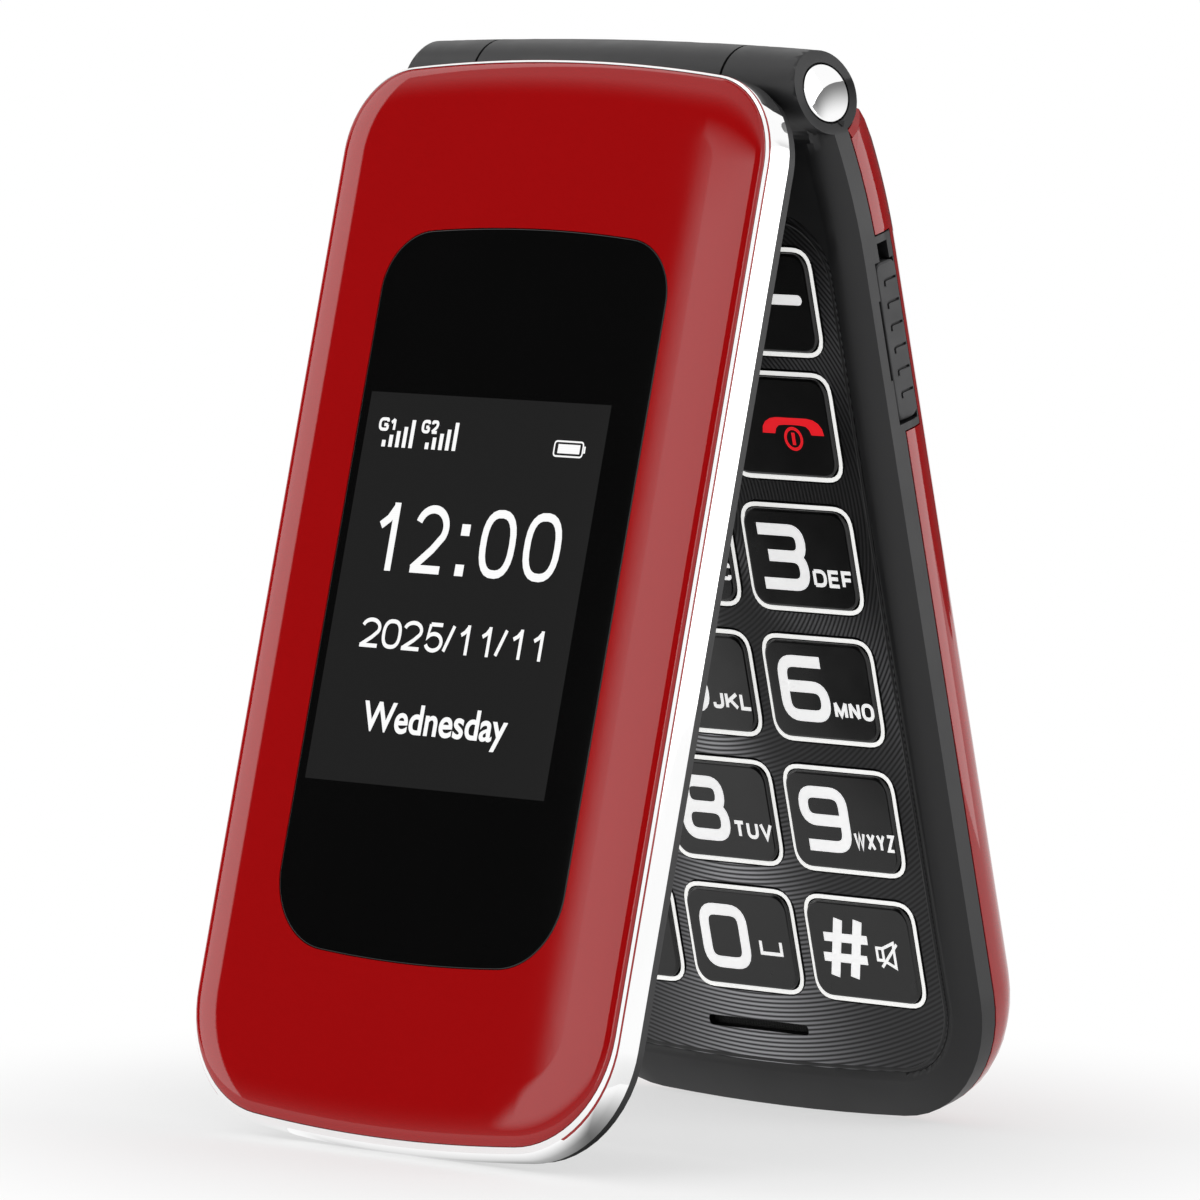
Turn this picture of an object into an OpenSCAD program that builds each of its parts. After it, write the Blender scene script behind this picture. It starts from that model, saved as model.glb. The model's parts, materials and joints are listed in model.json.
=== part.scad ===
// Folding phone with large keys, standing half open like a tent.
// Each half is drawn flat: x across, y towards the hinge, z out of the keypad, hinge axis on x.
// Distances down a half are measured from the hinge axis and written without a sign.

/* [Keypad] */
// Width of a key, to the middle of its white outline
key_w = 13.9; // [12:0.1:16]
// Height of a key, to the middle of its white outline
key_h = 10.4; // [9:0.1:12]
// Gap between the outlines of neighbouring columns
key_gap_x = 1.76; // [1.4:0.02:3]
// Gap between the outlines of neighbouring rows
key_gap_y = 2.68; // [1.4:0.02:4]
// Gap between the soft keys and the call keys
soft_gap = 1.8; // [1.4:0.1:4]
// Corner radius of a key outline
key_r = 2.1; // [1.5:0.1:4]
// Width of the white outline round a key
outline_w = 0.4; // [0.3:0.05:0.8]
// Height of the key tops above the panel
key_proud = 0.5; // [0.2:0.05:0.6]
// Travel of a key
key_travel = 0.3; // [0.1:0.05:0.35]
// Width of the centre key
ok_w = 6.6; // [5:0.1:8]
// Height of the centre key
ok_h = 8.6; // [6:0.1:12]

/* [Keypad half] */
// Distance from the hinge axis to the keypad panel
deck_len = 11.2; // [9:0.1:16]
// Panel above the first row of keys
panel_head = 3.35; // [2:0.05:6]
// Panel beside the outer columns of keys
panel_side = 2.39; // [1.8:0.01:5]
// Panel below the last row of keys
panel_foot = 7.5; // [6:0.1:12]
// Thickness of the panel
panel_t = 0.8; // [0.6:0.05:1.2]
// Sloping border of the frame at its sides
frame_border = 3; // [2.2:0.1:5]
// Frame below the panel
chin = 5.1; // [4:0.1:10]
// Height of the panel above the hinge axis
panel_h = 2.4; // [2:0.1:3]
// Height of the side wall's top edge above the hinge axis
rim_h = 0.8; // [0.2:0.1:1.4]
// Depth of the joint between frame and back cover below the hinge axis
parting_h = 1.1; // [1:0.05:1.6]
// Depth of the back below the hinge axis
back_h = 7.4; // [7.2:0.1:10]
// Corner radius at the free end
base_end_r = 13; // [8:0.5:18]
// Rounding of the back along the sides
back_round = 6; // [3:0.1:8]
// Rounding of the back along the free end
back_end_round = 9.4; // [5:0.1:14]
// Distance from the hinge at which the back reaches its full depth
back_slope = 15; // [12:0.5:17]
// Wall of the back cover
cover_wall = 1; // [0.7:0.05:1.2]
// Microphone slot length
mic_slot_w = 13; // [6:0.5:20]
// Microphone slot height
mic_slot_h = 1.1; // [1:0.1:2.5]

/* [Lid] */
// Gap by which the lid is narrower than the keypad half on each side
lid_step = 0.5; // [0:0.1:2]
// Overhang of the lid past the keypad half at the free end
lid_overhang = 1.2; // [0:0.1:4]
// Rise of the lid above the hinge axis
lid_rise = 0.8; // [0.4:0.1:2]
// Corner radius beside the hinge
lid_top_r = 8.5; // [7:0.5:15]
// Corner radius at the free end
lid_end_r = 11.5; // [8:0.5:18]
// Draw-in of the bright band's rounded edge at the free end
end_draw = 0.8; // [0:0.05:0.9]
// Height of the lid's inner face above the hinge axis when shut
lid_inner_h = 3.3; // [3.25:0.05:4]
// Height of the casing strip's lower edge
strip_h = 4.2; // [4.1:0.05:4.7]
// Height of the bright band's lower edge
band_h = 5.3; // [5.25:0.05:6]
// Height of the seat of the red cover
seat_h = 7.7; // [7.6:0.05:8.5]
// Thickness of the red cover
lid_cover_t = 1.2; // [1:0.05:1.6]
// Width of the outer window
window_w = 37; // [30:0.5:42]
// Distance from the hinge axis to the outer window
window_top = 15.7; // [13:0.1:24]
// Distance from the hinge axis to the foot of the outer window
window_end = 85.8; // [76:0.1:90]
// Thickness of the windows
window_t = 0.7; // [0.5:0.05:0.8]
// Width of the outer display's picture
display_w = 31.2; // [24:0.1:32]
// Height of the outer display's picture
display_h = 37.5; // [28:0.1:42]
// Shift of the outer display to the left of the middle
display_shift = 1.95; // [0:0.05:2.2]
// Middle of the outer display from the hinge axis
display_mid = 50.7; // [46:0.1:56]
// Width of the inner window
inner_window_w = 45; // [40:0.5:46]
// Height of the inner window
inner_window_h = 66; // [58:0.5:68]
// Distance from the hinge axis to the inner window
inner_window_top = 14; // [12:0.5:18]

/* [Hinge] */
// Radius of the barrel at its middle
barrel_r = 4.5; // [4.3:0.05:4.6]
// Radius of the barrel at its ends
barrel_end_r = 3.9; // [3.7:0.05:4.1]
// Half length of the lid's knuckle, to the middle of the seam
seam_x = 16; // [13:0.5:18]
// Radius of the bore through the lid's knuckle
knuckle_bore_r = 3.2; // [2.8:0.05:3.4]
// Radius of the hinge shaft and pin
pin_r = 1.5; // [1.2:0.05:1.8]
// Radius of the chrome end caps
cap_r = 2.9; // [2.5:0.05:3]
// Thickness of the chrome end caps
cap_t = 1; // [0.7:0.05:1.5]
// Angle between the halves as the phone stands
open_angle = 27.5; // [20:0.5:60]

/* [Battery and side parts] */
// Width of the battery
battery_w = 34; // [30:0.5:38]
// Length of the battery
battery_len = 52; // [46:0.5:54]
// Distance from the hinge axis to the battery
battery_top = 35; // [34.5:0.1:37]
// Distance from the hinge axis to the dark islands in the sides
island_top = 14.1; // [13:0.1:16]
// Length of the islands
island_len = 18.8; // [17:0.1:19]
// Depth of the islands below the hinge axis
island_h = 3.7; // [3.6:0.05:4]
// Length of the port cover
flap_len = 14.6; // [12:0.1:14.8]
// Height of the port cover and of the volume key
flap_h = 2.7; // [2.2:0.05:2.8]
// Thickness of the port cover
flap_t = 1.5; // [1.2:0.05:1.6]
// Radius of the camera lens
lens_r = 2.8; // [2:0.1:3.2]

/* [Hidden] */
// Clearances
fit = 0.05;
side_fit = 0.15;
loose = 0.3;
run_gap = 0.35;
shaft_fit = 0.03;
part_gap = 0.15;
// Roundness of the arcs in outlines and of the round parts
corner_steps = 12;
bow_steps = 4;
round_steps = 8;
bevel_steps = 5;
$fn = 48;
slice_t = 0.02;
over = 1;
far = 40;
bow_r = 260;
lid_bow_r = 190;
window_bow_r = 150;

// Keypad grid
col_pitch = key_w + key_gap_x;
row_pitch = key_h + key_gap_y;
soft_row = deck_len + panel_head + key_h / 2;
call_row = soft_row + key_h + soft_gap;
last_row = call_row + 4 * row_pitch;
nav_row = (soft_row + call_row) / 2;
nav_h = 2 * key_h + soft_gap;
nav_r = 5;

// Keypad half
panel_hw = col_pitch + key_w / 2 + panel_side;
panel_end = last_row + key_h / 2 + panel_foot;
panel_top_r = 6;
panel_end_r = 7;
base_hw = panel_hw + frame_border;
panel_low = panel_h - panel_t;
ledge = 1;
border_curve = 1.6;
taper_top = 16.1;
taper_r = 59;
side_flat = 0.3;
slope_r = 25;
mic_row = panel_end - panel_foot / 2;
mic_r = 2;
slot_round = 0.4;
least_corner_r = 2;

// Levels of the keypad stack
board_t = 0.8;
board_top = 0.4;
dome_sheet_t = 0.1;
dome_h = 0.2;
dome_r = 2;
mat_t = 0.4;
mat_low = board_top + dome_sheet_t + dome_h + fit;
mat_top = mat_low + mat_t;
mat_edge = 1.2;
mat_end = last_row + key_h / 2 + mat_edge;
collar_proud = 0.1;
collar_top = panel_h + collar_proud;
cap_low = mat_top + key_travel + side_fit;
cap_top = panel_h + key_proud;
cap_edge = 0.3;

// Rear housing
floor_t = 1;
floor_low = -parting_h - floor_t;
housing_low = cover_wall + loose - back_h;
bay_low = housing_low + fit;
battery_mid = battery_top + battery_len / 2;
battery_r = 1.5;
bay_wall = 2.5;
contact_w = 1.6;
contact_t = 1.2;
contact_h = 2;
contact_pitch = 4;
contact_v = battery_top - side_fit - contact_t / 2;
card_w = 28;
card_len = 36;
pocket_top = 13.5;
pocket_end = battery_top - bay_wall;
pocket_hw = 17;
boss_r = 1.6;
boss_in = 3;
speaker_w = 16;
speaker_len = 7;
speaker_t = 2.8;
speaker_wall = 1.6;
speaker_mid = battery_top + battery_len + speaker_wall + speaker_len / 2;
sound_w = 10;
sound_h = 0.9;
sound_pitch = 2;
camera_row = (pocket_top + pocket_end) / 2;
camera_s = 7;
lens_t = 0.6;
motor_r = 4;
motor_t = 2.6;
motor_x = -11;
flash_x = 9;
flash_s = 3;
flash_r = 1.5;
screw_r = 0.7;
screw_head_r = 1.3;
screw_head_t = 0.8;
screw_len = 1.8;
screw_gap = 5;
screw_x = panel_hw - ledge + screw_head_r;
screw_rows = [island_top + island_len + screw_gap, last_row];

// The casing is as long as the keypad, or the battery with the loudspeaker, needs
end_room = 6;
base_len = max(panel_end + chin, speaker_mid + speaker_len / 2 + end_room);

// Side parts
island_in = 0.4;
island_hw = panel_hw - ledge + island_in;
flap_out = 0.05;
flap_mid_h = -2;
flap_end_gap = 1.6;
flap_pivot = island_top + island_len - flap_end_gap;
flap_x = base_hw - flap_out - flap_t / 2;
recess_x = flap_x - flap_t / 2 - side_fit;
notch_len = 1.9;
notch_h = 1.6;
grip_count = 6;
grip_t = 0.2;
grip_line = 0.35;
socket_w = 7.4;
socket_t = 2.5;
socket_len = 5.6;
socket_wall = 0.3;
socket_top = board_top - board_t;
socket_mid = flap_pivot - flap_len / 2;
rocker_len = 13.6;
rocker_mid = island_top + island_len / 2;
rocker_t = 1.7;
rocker_x = base_hw + flap_out + grip_t - rocker_t;
rocker_gap = 0.5;

// Lid
lid_hw = base_hw - lid_step;
lid_len = base_len + lid_overhang;
lid_plate_t = 1.4;
strip_in = 0.25;
bevel_in = 1.9;
lip_w = 0.3;
lip_h = 0.6;
trim_roll = 1.8;
trim_w = 1.3;
rib_w = 1;
cavity_top = 7;
cavity_in = trim_w + rib_w + fit;
cavity_r = 7.5;
cover_in = lip_w + fit;
crown_in = 6;
crown_drop = 0.6;
crown_steps = 4;
lid_face_h = seat_h + lid_cover_t;
display_margin = 1;
window_top_r = 6;
window_end_r = 7.5;
inner_window_r = 3;
inner_display_margin = 2.5;
inner_display_in = 1;
inner_display_t = 1.3;
lid_board_side = 2;
lid_board_end = 1;
lid_board_t = 0.6;
cavity_h = lid_inner_h + lid_plate_t;
lid_board_h = cavity_h + inner_display_t + fit;
outer_display_h = lid_board_h + lid_board_t + fit;
outer_display_t = seat_h - outer_display_h - fit;
ear_end = 13;
ear_row = lid_len - ear_end;
ear_w = 14;
ear_h = 1.4;
ear_module_w = 16;
ear_module_h = 6;
ear_t = 2.4;
mesh_t = 0.3;
bumper_r = 1.6;
bumper_proud = 0.45;
bumper_seat = 0.7;
bumper_side = 9;
bumper_end = 5.6;
bumper_x = lid_hw - bumper_side;
bumper_row = lid_len - bumper_end;
plug_r = 1.7;
plug_t = 0.8;
plug_side = 4.2;
plug_top = 9.5;
plug_end = 17;
plug_x = lid_hw - plug_side;
plug_rows = [plug_top, lid_len - plug_end];
magnet_r = 2;
magnet_t = 1.6;
magnet_x = -16;

// Hinge
knuckle_x = base_hw - taper_r + sqrt(taper_r * taper_r - taper_top * taper_top);
cap_tilt = asin(taper_top / taper_r);
crown_r = (pow(knuckle_x, 2)) / (2 * (barrel_r - barrel_end_r));
barrel_clear_r = barrel_r + run_gap;
fillet_r = 3;
cap_proud = -0.1;
cap_dome = 0.35;
cartridge_x = [3, seam_x - side_fit];
bush_x = [-seam_x + side_fit, -9];
flex_x = [-8, 2];
flex_r = 2.75;
flex_t = 0.15;
flex_slot = 1.5;
pin_reach = 22;
pin_inner = 8.5;

// Stance: both free ends rest on the floor
lid_foot_v = lid_len - strip_in;
lid_foot_r = norm([lid_foot_v, strip_h]);
lid_foot_a = open_angle + atan(strip_h / lid_foot_v);
base_lean = atan((base_len - lid_foot_r * cos(lid_foot_a)) / (lid_foot_r * sin(lid_foot_a) - rim_h));
lid_lean = open_angle - base_lean;
hinge_h = base_len * cos(base_lean) + rim_h * sin(base_lean);
front_y = lid_len * sin(lid_lean) + (seat_h + lip_h) * cos(lid_lean);
rear_v = base_len - back_end_round * (1 - sin(base_lean));
rear_y = rear_v * sin(base_lean) + back_h * cos(base_lean);
hinge_y = (front_y - rear_y) / 2;

DIGIT_NODES = ["key_1", "key_2", "key_3", "key_4", "key_5", "key_6", "key_7", "key_8", "key_9"];
digit_keys = [for (i = [0:len(DIGIT_NODES) - 1]) [i % 3 - 1, floor(i / 3) + 1]];

// Outlines

function arc_pts(c, r, a0, a1, n) =
    [for (i = [0:n]) let (a = a0 + (a1 - a0) * i / n) c + r * [cos(a), sin(a)]];

function tail(list) = [for (i = [1:len(list) - 1]) list[i]];

function upside(list) = [for (i = [len(list) - 1:-1:0]) [list[i].x, -list[i].y]];

function both_sides(half) =
    concat(half, [for (i = [len(half) - 2:-1:1]) [-half[i].x, half[i].y]]);

// Right half of a bowed end at the given distance, with its corner, from the middle to the side
function end_half(hw, dist, r, bow) =
    let (
        c = bow - dist,
        x = hw - r,
        y = c - sqrt(pow(bow - r, 2) - x * x),
        a = atan2(y - c, x)
    )
    concat(arc_pts([0, c], bow, -90, a, bow_steps), tail(arc_pts([x, y], r, a, 0, corner_steps)));

// Closed outline with both ends bowed
function bowed_outline(hw, top, end, r_top, r_end, bow) =
    both_sides(concat(end_half(hw, end, r_end, bow), upside(end_half(hw, -top, r_top, bow))));

// Closed outline with a straight top and a bowed free end
function plate_outline(hw, top, end, r_top, r_end, bow) =
    both_sides(concat(
        end_half(hw, end, r_end, bow),
        arc_pts([hw - r_top, -top - r_top], r_top, 0, 90, corner_steps),
        [[0, -top]]
    ));

// Keypad half seen from the front; its sides draw in towards the hinge along an arc
function base_outline(inset, end_inset, top, r) =
    both_sides(concat(
        end_half(base_hw - inset, base_len - end_inset, r, bow_r),
        arc_pts([base_hw - taper_r, -taper_top], taper_r - inset, 0,
            asin((taper_top - top) / (taper_r - inset)), round_steps),
        [[0, -top]]
    ));

// Lid seen from outside, inset all round and drawn in further at the free end
function lid_outline(inset, draw) =
    bowed_outline(lid_hw - inset, inset - lid_rise, lid_len - inset - draw,
        lid_top_r - inset, lid_end_r - inset, lid_bow_r);

function panel_outline(inset) =
    plate_outline(panel_hw - inset, deck_len + inset, panel_end - inset,
        panel_top_r - inset, panel_end_r - inset, bow_r);

function window_outline(inset) =
    bowed_outline(window_w / 2 - inset, window_top + inset, window_end - inset,
        window_top_r - inset, window_end_r - inset, window_bow_r);

// Distance from the hinge at which the back, inset by a wall, reaches a depth
function slope_top(depth, inset) =
    let (full = back_h - inset, rise = depth - full + slope_r)
    max(0, back_slope + inset - sqrt(max(0, pow(slope_r, 2) - rise * rise)));

// Shared solids

module base_pose() {
    translate([0, hinge_y, hinge_h])
        rotate([90 + base_lean, 0, 0])
            children();
}

module lid_pose() {
    translate([0, hinge_y, hinge_h])
        rotate([90 - lid_lean, 0, 0])
            children();
}

module slice(z, points) {
    translate([0, 0, z])
        linear_extrude(slice_t)
            polygon(points);
}

module plate(z, t, points) {
    translate([0, 0, z])
        linear_extrude(t)
            polygon(points);
}

// Box given by its middle across, its middle down the half, and its two levels
module block(x, v, low, high, w, len) {
    translate([x - w / 2, -v - len / 2, low])
        cube([w, len, high - low]);
}

module post(x, v, low, high, r) {
    translate([x, -v, low])
        cylinder(r = r, h = high - low);
}

// Cylinder along the hinge axis
module axle(x0, x1, r) {
    translate([x0, 0, 0])
        rotate([0, 90, 0])
            cylinder(r = r, h = x1 - x0);
}

// Crowned length of the hinge barrel
module barrel(x0, x1) {
    steps = [for (i = [0:round_steps]) x0 + (x1 - x0) * i / round_steps];
    rotate([0, 90, 0])
        rotate_extrude()
            polygon(concat(
                [[0, x0]],
                [for (x = steps) [barrel_r - x * x / (2 * crown_r), x]],
                [[0, x1]]
            ));
}

module rounded_rect(w, h, r) {
    polygon(both_sides(concat(
        [[0, -h / 2]],
        arc_pts([w / 2 - r, r - h / 2], r, -90, 0, round_steps),
        arc_pts([w / 2 - r, h / 2 - r], r, 0, 90, round_steps),
        [[0, h / 2]]
    )));
}

// Back of the keypad half as one rounded solid, inset by a wall and raised above the parting plane
module rear_solid(inset, raise) {
    depth = back_h - inset - parting_h - side_flat;
    hull() {
        plate(-parting_h - side_flat, side_flat + raise,
            base_outline(inset, inset, 0, base_end_r - inset));
        for (i = [1:round_steps]) {
            a = 90 * i / round_steps;
            low = parting_h + side_flat + depth * sin(a);
            side = inset + back_round * (1 - cos(a));
            slice(-low, base_outline(
                side,
                inset + back_end_round * (1 - cos(a)),
                slope_top(low, inset),
                max(base_end_r - side, least_corner_r)
            ));
        }
    }
}

// Both dark islands in the sides, grown by a clearance
module island_boxes(grow) {
    for (side = [-1, 1])
        block(side * (island_hw - grow + far / 2), island_top + island_len / 2,
            -island_h - grow, over, far, island_len + 2 * grow);
}

// Places of every key outline: column, middle down the half, width, height and corner radius
key_slots = concat(
    [for (c = [-1, 1], v = [soft_row, call_row]) [c, v, key_w, key_h, key_r]],
    [for (c = [-1:1], r = [1:4]) [c, call_row + r * row_pitch, key_w, key_h, key_r]],
    [[0, nav_row, key_w, nav_h, nav_r]]
);

module at_key_slots() {
    for (k = key_slots)
        translate([k[0] * col_pitch, -k[1], 0])
            linear_extrude(far, center = true)
                rounded_rect(k[2] + $grow, k[3] + $grow, k[4] + $grow / 2);
}

// Solid cap of a key with a softened top edge, standing in its outline
module key_solid(w, h, r) {
    inner = -outline_w - 2 * side_fit;
    hull() {
        translate([0, 0, cap_low])
            linear_extrude(cap_top - cap_low - cap_edge)
                rounded_rect(w + inner, h + inner, r + inner / 2);
        translate([0, 0, cap_top - slice_t])
            linear_extrude(slice_t)
                rounded_rect(w + inner - 2 * cap_edge, h + inner - 2 * cap_edge, r + inner / 2 - cap_edge);
    }
}

module key(col, v) {
    color("#161616")
        base_pose()
            translate([col * col_pitch, -v, 0])
                key_solid(key_w, key_h, key_r);
}

// Keypad half: casing

module knuckle_bores() {
    axle(-pin_reach, pin_reach, pin_r + shaft_fit / 2);
    for (side = [0, 1])
        mirror([side, 0, 0])
            translate([knuckle_x, 0, 0])
                rotate([0, 0, cap_tilt])
                    axle(-cap_t, far, cap_r + fit);
}

// Outer knuckles with the fillet that runs them into the frame
module base_knuckles() {
    intersection() {
        plate(-far / 2, far, base_outline(0, 0, -2 * barrel_r, base_end_r));
        union() {
            for (side = [0, 1])
                mirror([side, 0, 0]) {
                    barrel(seam_x + side_fit, base_hw);
                    knuckle_fillet();
                }
        }
    }
}

module knuckle_fillet() {
    reach = barrel_end_r + fillet_r;
    fillet_v = sqrt(pow(reach, 2) - pow(panel_h + fillet_r, 2));
    fillet_h = (panel_h + fillet_r) * barrel_end_r / reach;
    translate([seam_x + side_fit, 0, 0])
        rotate([90, 0, 90])
            linear_extrude(base_hw - frame_border - seam_x - side_fit)
                difference() {
                    translate([-fillet_v, 0])
                        square([fillet_v, fillet_h]);
                    translate([-fillet_v, panel_h + fillet_r])
                        circle(r = fillet_r);
                }
}

module frame_shell() {
    hull() {
        plate(-parting_h, parting_h + rim_h, base_outline(0, 0, 0, base_end_r));
        for (i = [1:bevel_steps]) {
            part = i / bevel_steps;
            rise = 1 - pow(1 - part, border_curve);
            slice(rim_h - slice_t + (panel_h - rim_h) * rise, base_outline(
                frame_border * part, chin * part, frame_border * part,
                base_end_r + (panel_end_r - base_end_r) * part));
        }
    }
}

module base_front_frame() {
    color("#3c3c3c")
        base_pose()
            difference() {
                union() {
                    frame_shell();
                    base_knuckles();
                    intersection() {
                        rear_solid(0, 0);
                        island_boxes(0);
                    }
                }
                plate(panel_low, far, panel_outline(-fit));
                plate(-parting_h - over, far, panel_outline(ledge));
                axle(-seam_x - side_fit, seam_x + side_fit, barrel_clear_r);
                knuckle_bores();
                flap_recess();
                rocker_recess();
                for (x = [-screw_x, screw_x], v = screw_rows)
                    post(x, v, -parting_h - over, screw_len - parting_h, screw_r + fit);
            }
}

// Recess of the port cover, its nail notch and the way to the data socket
module flap_recess() {
    len = flap_len + flap_t / 2 + 2 * side_fit;
    block(recess_x + far / 2, flap_pivot + flap_t / 2 + side_fit - len / 2,
        flap_mid_h - flap_h / 2 - side_fit, flap_mid_h + flap_h / 2 + side_fit, far, len);
    block(recess_x + far / 2, flap_pivot - flap_len - notch_len / 2,
        flap_mid_h - notch_h / 2, flap_mid_h + notch_h / 2, far, notch_len);
    socket_way(recess_x);
}

// Room for the data socket, opening through the wall at the given distance from the middle
module socket_way(x) {
    block(x, socket_mid, socket_top - socket_t - side_fit, socket_top + side_fit,
        2 * socket_len, socket_w + 2 * side_fit);
}

module contacts(grow) {
    for (i = [-1:1])
        block(i * contact_pitch, contact_v, floor_low - contact_h - grow, floor_low,
            contact_w + 2 * grow, contact_t + 2 * grow);
}

module rocker_recess() {
    block(-rocker_x + rocker_gap - far / 2, rocker_mid,
        flap_mid_h - flap_h / 2 - side_fit, flap_mid_h + flap_h / 2 + side_fit,
        far, rocker_len + 2 * side_fit);
}

module base_rear_housing() {
    color("#2b2b2b")
        base_pose()
            difference() {
                union() {
                    rear_solid(cover_wall + loose, 0);
                    for (x = [boss_in - screw_x, screw_x - boss_in], v = screw_rows)
                        post(x, v, -parting_h, board_top - board_t, boss_r);
                }
                axle(-far, far, barrel_clear_r + cover_wall);
                island_boxes(side_fit);
                block(0, battery_mid, -far, floor_low, battery_w + 2 * side_fit, battery_len + 2 * side_fit);
                block(0, camera_row, -far, floor_low, 2 * pocket_hw, pocket_end - pocket_top);
                block(0, speaker_mid, -far, floor_low, speaker_w + 2 * side_fit, speaker_len + 2 * side_fit);
                block(0, battery_mid, floor_low - over, floor_low + floor_t / 2, card_w, card_len);
                socket_way(island_hw);
                contacts(fit);
                for (x = [-screw_x, screw_x], v = screw_rows) {
                    post(x, v, -far, over, screw_r + fit);
                    post(x, v, -far, floor_low, screw_head_r + side_fit);
                }
            }
}

module battery_cover() {
    color("#a01012")
        base_pose()
            difference() {
                rear_solid(0, -part_gap);
                rear_solid(cover_wall, over);
                axle(-far, far, barrel_clear_r);
                island_boxes(part_gap);
                post(0, camera_row, -far, 0, lens_r + loose);
                post(flash_x, camera_row, -far, 0, flash_r + loose);
                for (i = [-1:1])
                    block(0, speaker_mid + i * sound_pitch, -far, 0, sound_w, sound_h);
            }
}

module base_screws() {
    color("#8a8a8a")
        base_pose()
            for (x = [-screw_x, screw_x], v = screw_rows) {
                post(x, v, floor_low, screw_len - parting_h - side_fit, screw_r);
                post(x, v, floor_low - screw_head_t, floor_low, screw_head_r);
            }
}

// Keypad half: what it holds

module battery() {
    color("#303338")
        base_pose()
            translate([0, -battery_mid, bay_low])
                linear_extrude(floor_low - fit - bay_low)
                    rounded_rect(battery_w, battery_len, battery_r);
}

module battery_contacts() {
    color("#c9a552")
        base_pose()
            contacts(0);
}

module card_holder() {
    color("#b4b4b0")
        base_pose()
            block(0, battery_mid, floor_low, floor_low + floor_t / 2 - fit, card_w - loose, card_len - loose);
}

module main_board() {
    color("#1f5a34")
        base_pose()
            plate(board_top - board_t, board_t, panel_outline(ledge + loose));
}

module dome_sheet() {
    color("#d8d8d4")
        base_pose() {
            plate(board_top, dome_sheet_t, mat_outline());
            for (k = key_slots)
                translate([k[0] * col_pitch, -k[1], board_top + dome_sheet_t])
                    cylinder(r1 = dome_r, r2 = dome_r / 2, h = dome_h);
        }
}

function mat_outline() =
    plate_outline(panel_hw - ledge - loose, deck_len + ledge + loose, mat_end,
        panel_top_r - ledge, key_r, bow_r);

module key_mat() {
    color("#f4f4f2")
        base_pose() {
            plate(mat_low, mat_t, mat_outline());
            intersection() {
                block(0, far, mat_top, collar_top, 2 * far, 4 * far);
                difference() {
                    at_key_slots($grow = outline_w);
                    at_key_slots($grow = -outline_w);
                }
            }
        }
}

module keypad_panel() {
    color("#1b1b1b")
        base_pose()
            difference() {
                plate(panel_low, panel_t, panel_outline(0));
                at_key_slots($grow = outline_w + 2 * side_fit);
                translate([0, -mic_row, 0])
                    linear_extrude(far)
                        rounded_rect(mic_slot_w, mic_slot_h, mic_slot_h * slot_round);
            }
}

module microphone() {
    color("#26282a")
        base_pose()
            post(0, mic_row, board_top, panel_low - side_fit, mic_r);
}

module loudspeaker() {
    color("#26282a")
        base_pose()
            block(0, speaker_mid, floor_low - speaker_t, floor_low, speaker_w, speaker_len);
}

module vibration_motor() {
    color("#b9bbbd")
        base_pose()
            post(motor_x, camera_row, floor_low - motor_t, floor_low, motor_r);
}

module camera() {
    color("#1a1a1a")
        base_pose() {
            block(0, camera_row, housing_low, floor_low, camera_s, camera_s);
            post(0, camera_row, lens_t - back_h, housing_low, lens_r);
        }
}

module camera_lens() {
    color("#30343c")
        base_pose()
            post(0, camera_row, -back_h, lens_t - back_h, lens_r);
}

module flash_lamp() {
    color("#f0ead0")
        base_pose() {
            block(flash_x, camera_row, housing_low, floor_low, flash_s, flash_s);
            post(flash_x, camera_row, -back_h, housing_low, flash_r);
        }
}

module data_socket() {
    color("#c4c6c8")
        base_pose()
            difference() {
                block(recess_x - side_fit - socket_len / 2, socket_mid, socket_top - socket_t, socket_top,
                    socket_len, socket_w);
                block(recess_x, socket_mid, socket_top - socket_t + socket_wall, socket_top - socket_wall,
                    2 * (socket_len - 2 * socket_wall), socket_w - 2 * socket_wall);
            }
}

module port_cover() {
    color("#2a2a2a")
        base_pose() {
            block(flap_x, flap_pivot - flap_len / 2, flap_mid_h - flap_h / 2, flap_mid_h + flap_h / 2,
                flap_t, flap_len);
            post(flap_x, flap_pivot, flap_mid_h - flap_h / 2, flap_mid_h + flap_h / 2, flap_t / 2);
            grip_marks();
        }
}

// Row of raised corner marks on the face of the port cover
module grip_marks() {
    pitch = flap_len / (grip_count + 1);
    arm = flap_h / 2;
    for (i = [1:grip_count])
        translate([flap_x + flap_t / 2, -flap_pivot + i * pitch, flap_mid_h - arm / 2])
            rotate([90, 0, 90])
                linear_extrude(grip_t) {
                    square([grip_line, arm]);
                    square([pitch / 2, grip_line]);
                }
}

module volume_key() {
    color("#2a2a2a")
        base_pose() {
            block(-rocker_x - rocker_t / 2, rocker_mid, flap_mid_h - flap_h / 2, flap_mid_h + flap_h / 2,
                rocker_t, rocker_len);
            post(-rocker_x, rocker_mid, flap_mid_h - flap_h / 2, flap_mid_h + flap_h / 2,
                rocker_gap - side_fit);
        }
}

// Keys

module soft_key_left() {
    key(-1, soft_row);
}

module soft_key_right() {
    key(1, soft_row);
}

module call_key() {
    key(-1, call_row);
}

module end_key() {
    key(1, call_row);
}

module nav_ring() {
    color("#1a1a1a")
        base_pose()
            translate([0, -nav_row, 0])
                difference() {
                    key_solid(key_w, nav_h, nav_r);
                    linear_extrude(far, center = true)
                        rounded_rect(ok_w + 2 * loose, ok_h + 2 * loose, key_r + loose);
                }
}

module ok_key() {
    inner = outline_w + 2 * side_fit;
    color("#161616")
        base_pose()
            translate([0, -nav_row, 0])
                key_solid(ok_w + inner, ok_h + inner, key_r + inner / 2);
}

module digit_key(i) {
    key(digit_keys[i][0], call_row + digit_keys[i][1] * row_pitch);
}

module key_star() {
    key(-1, last_row);
}

module key_0() {
    key(0, last_row);
}

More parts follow.
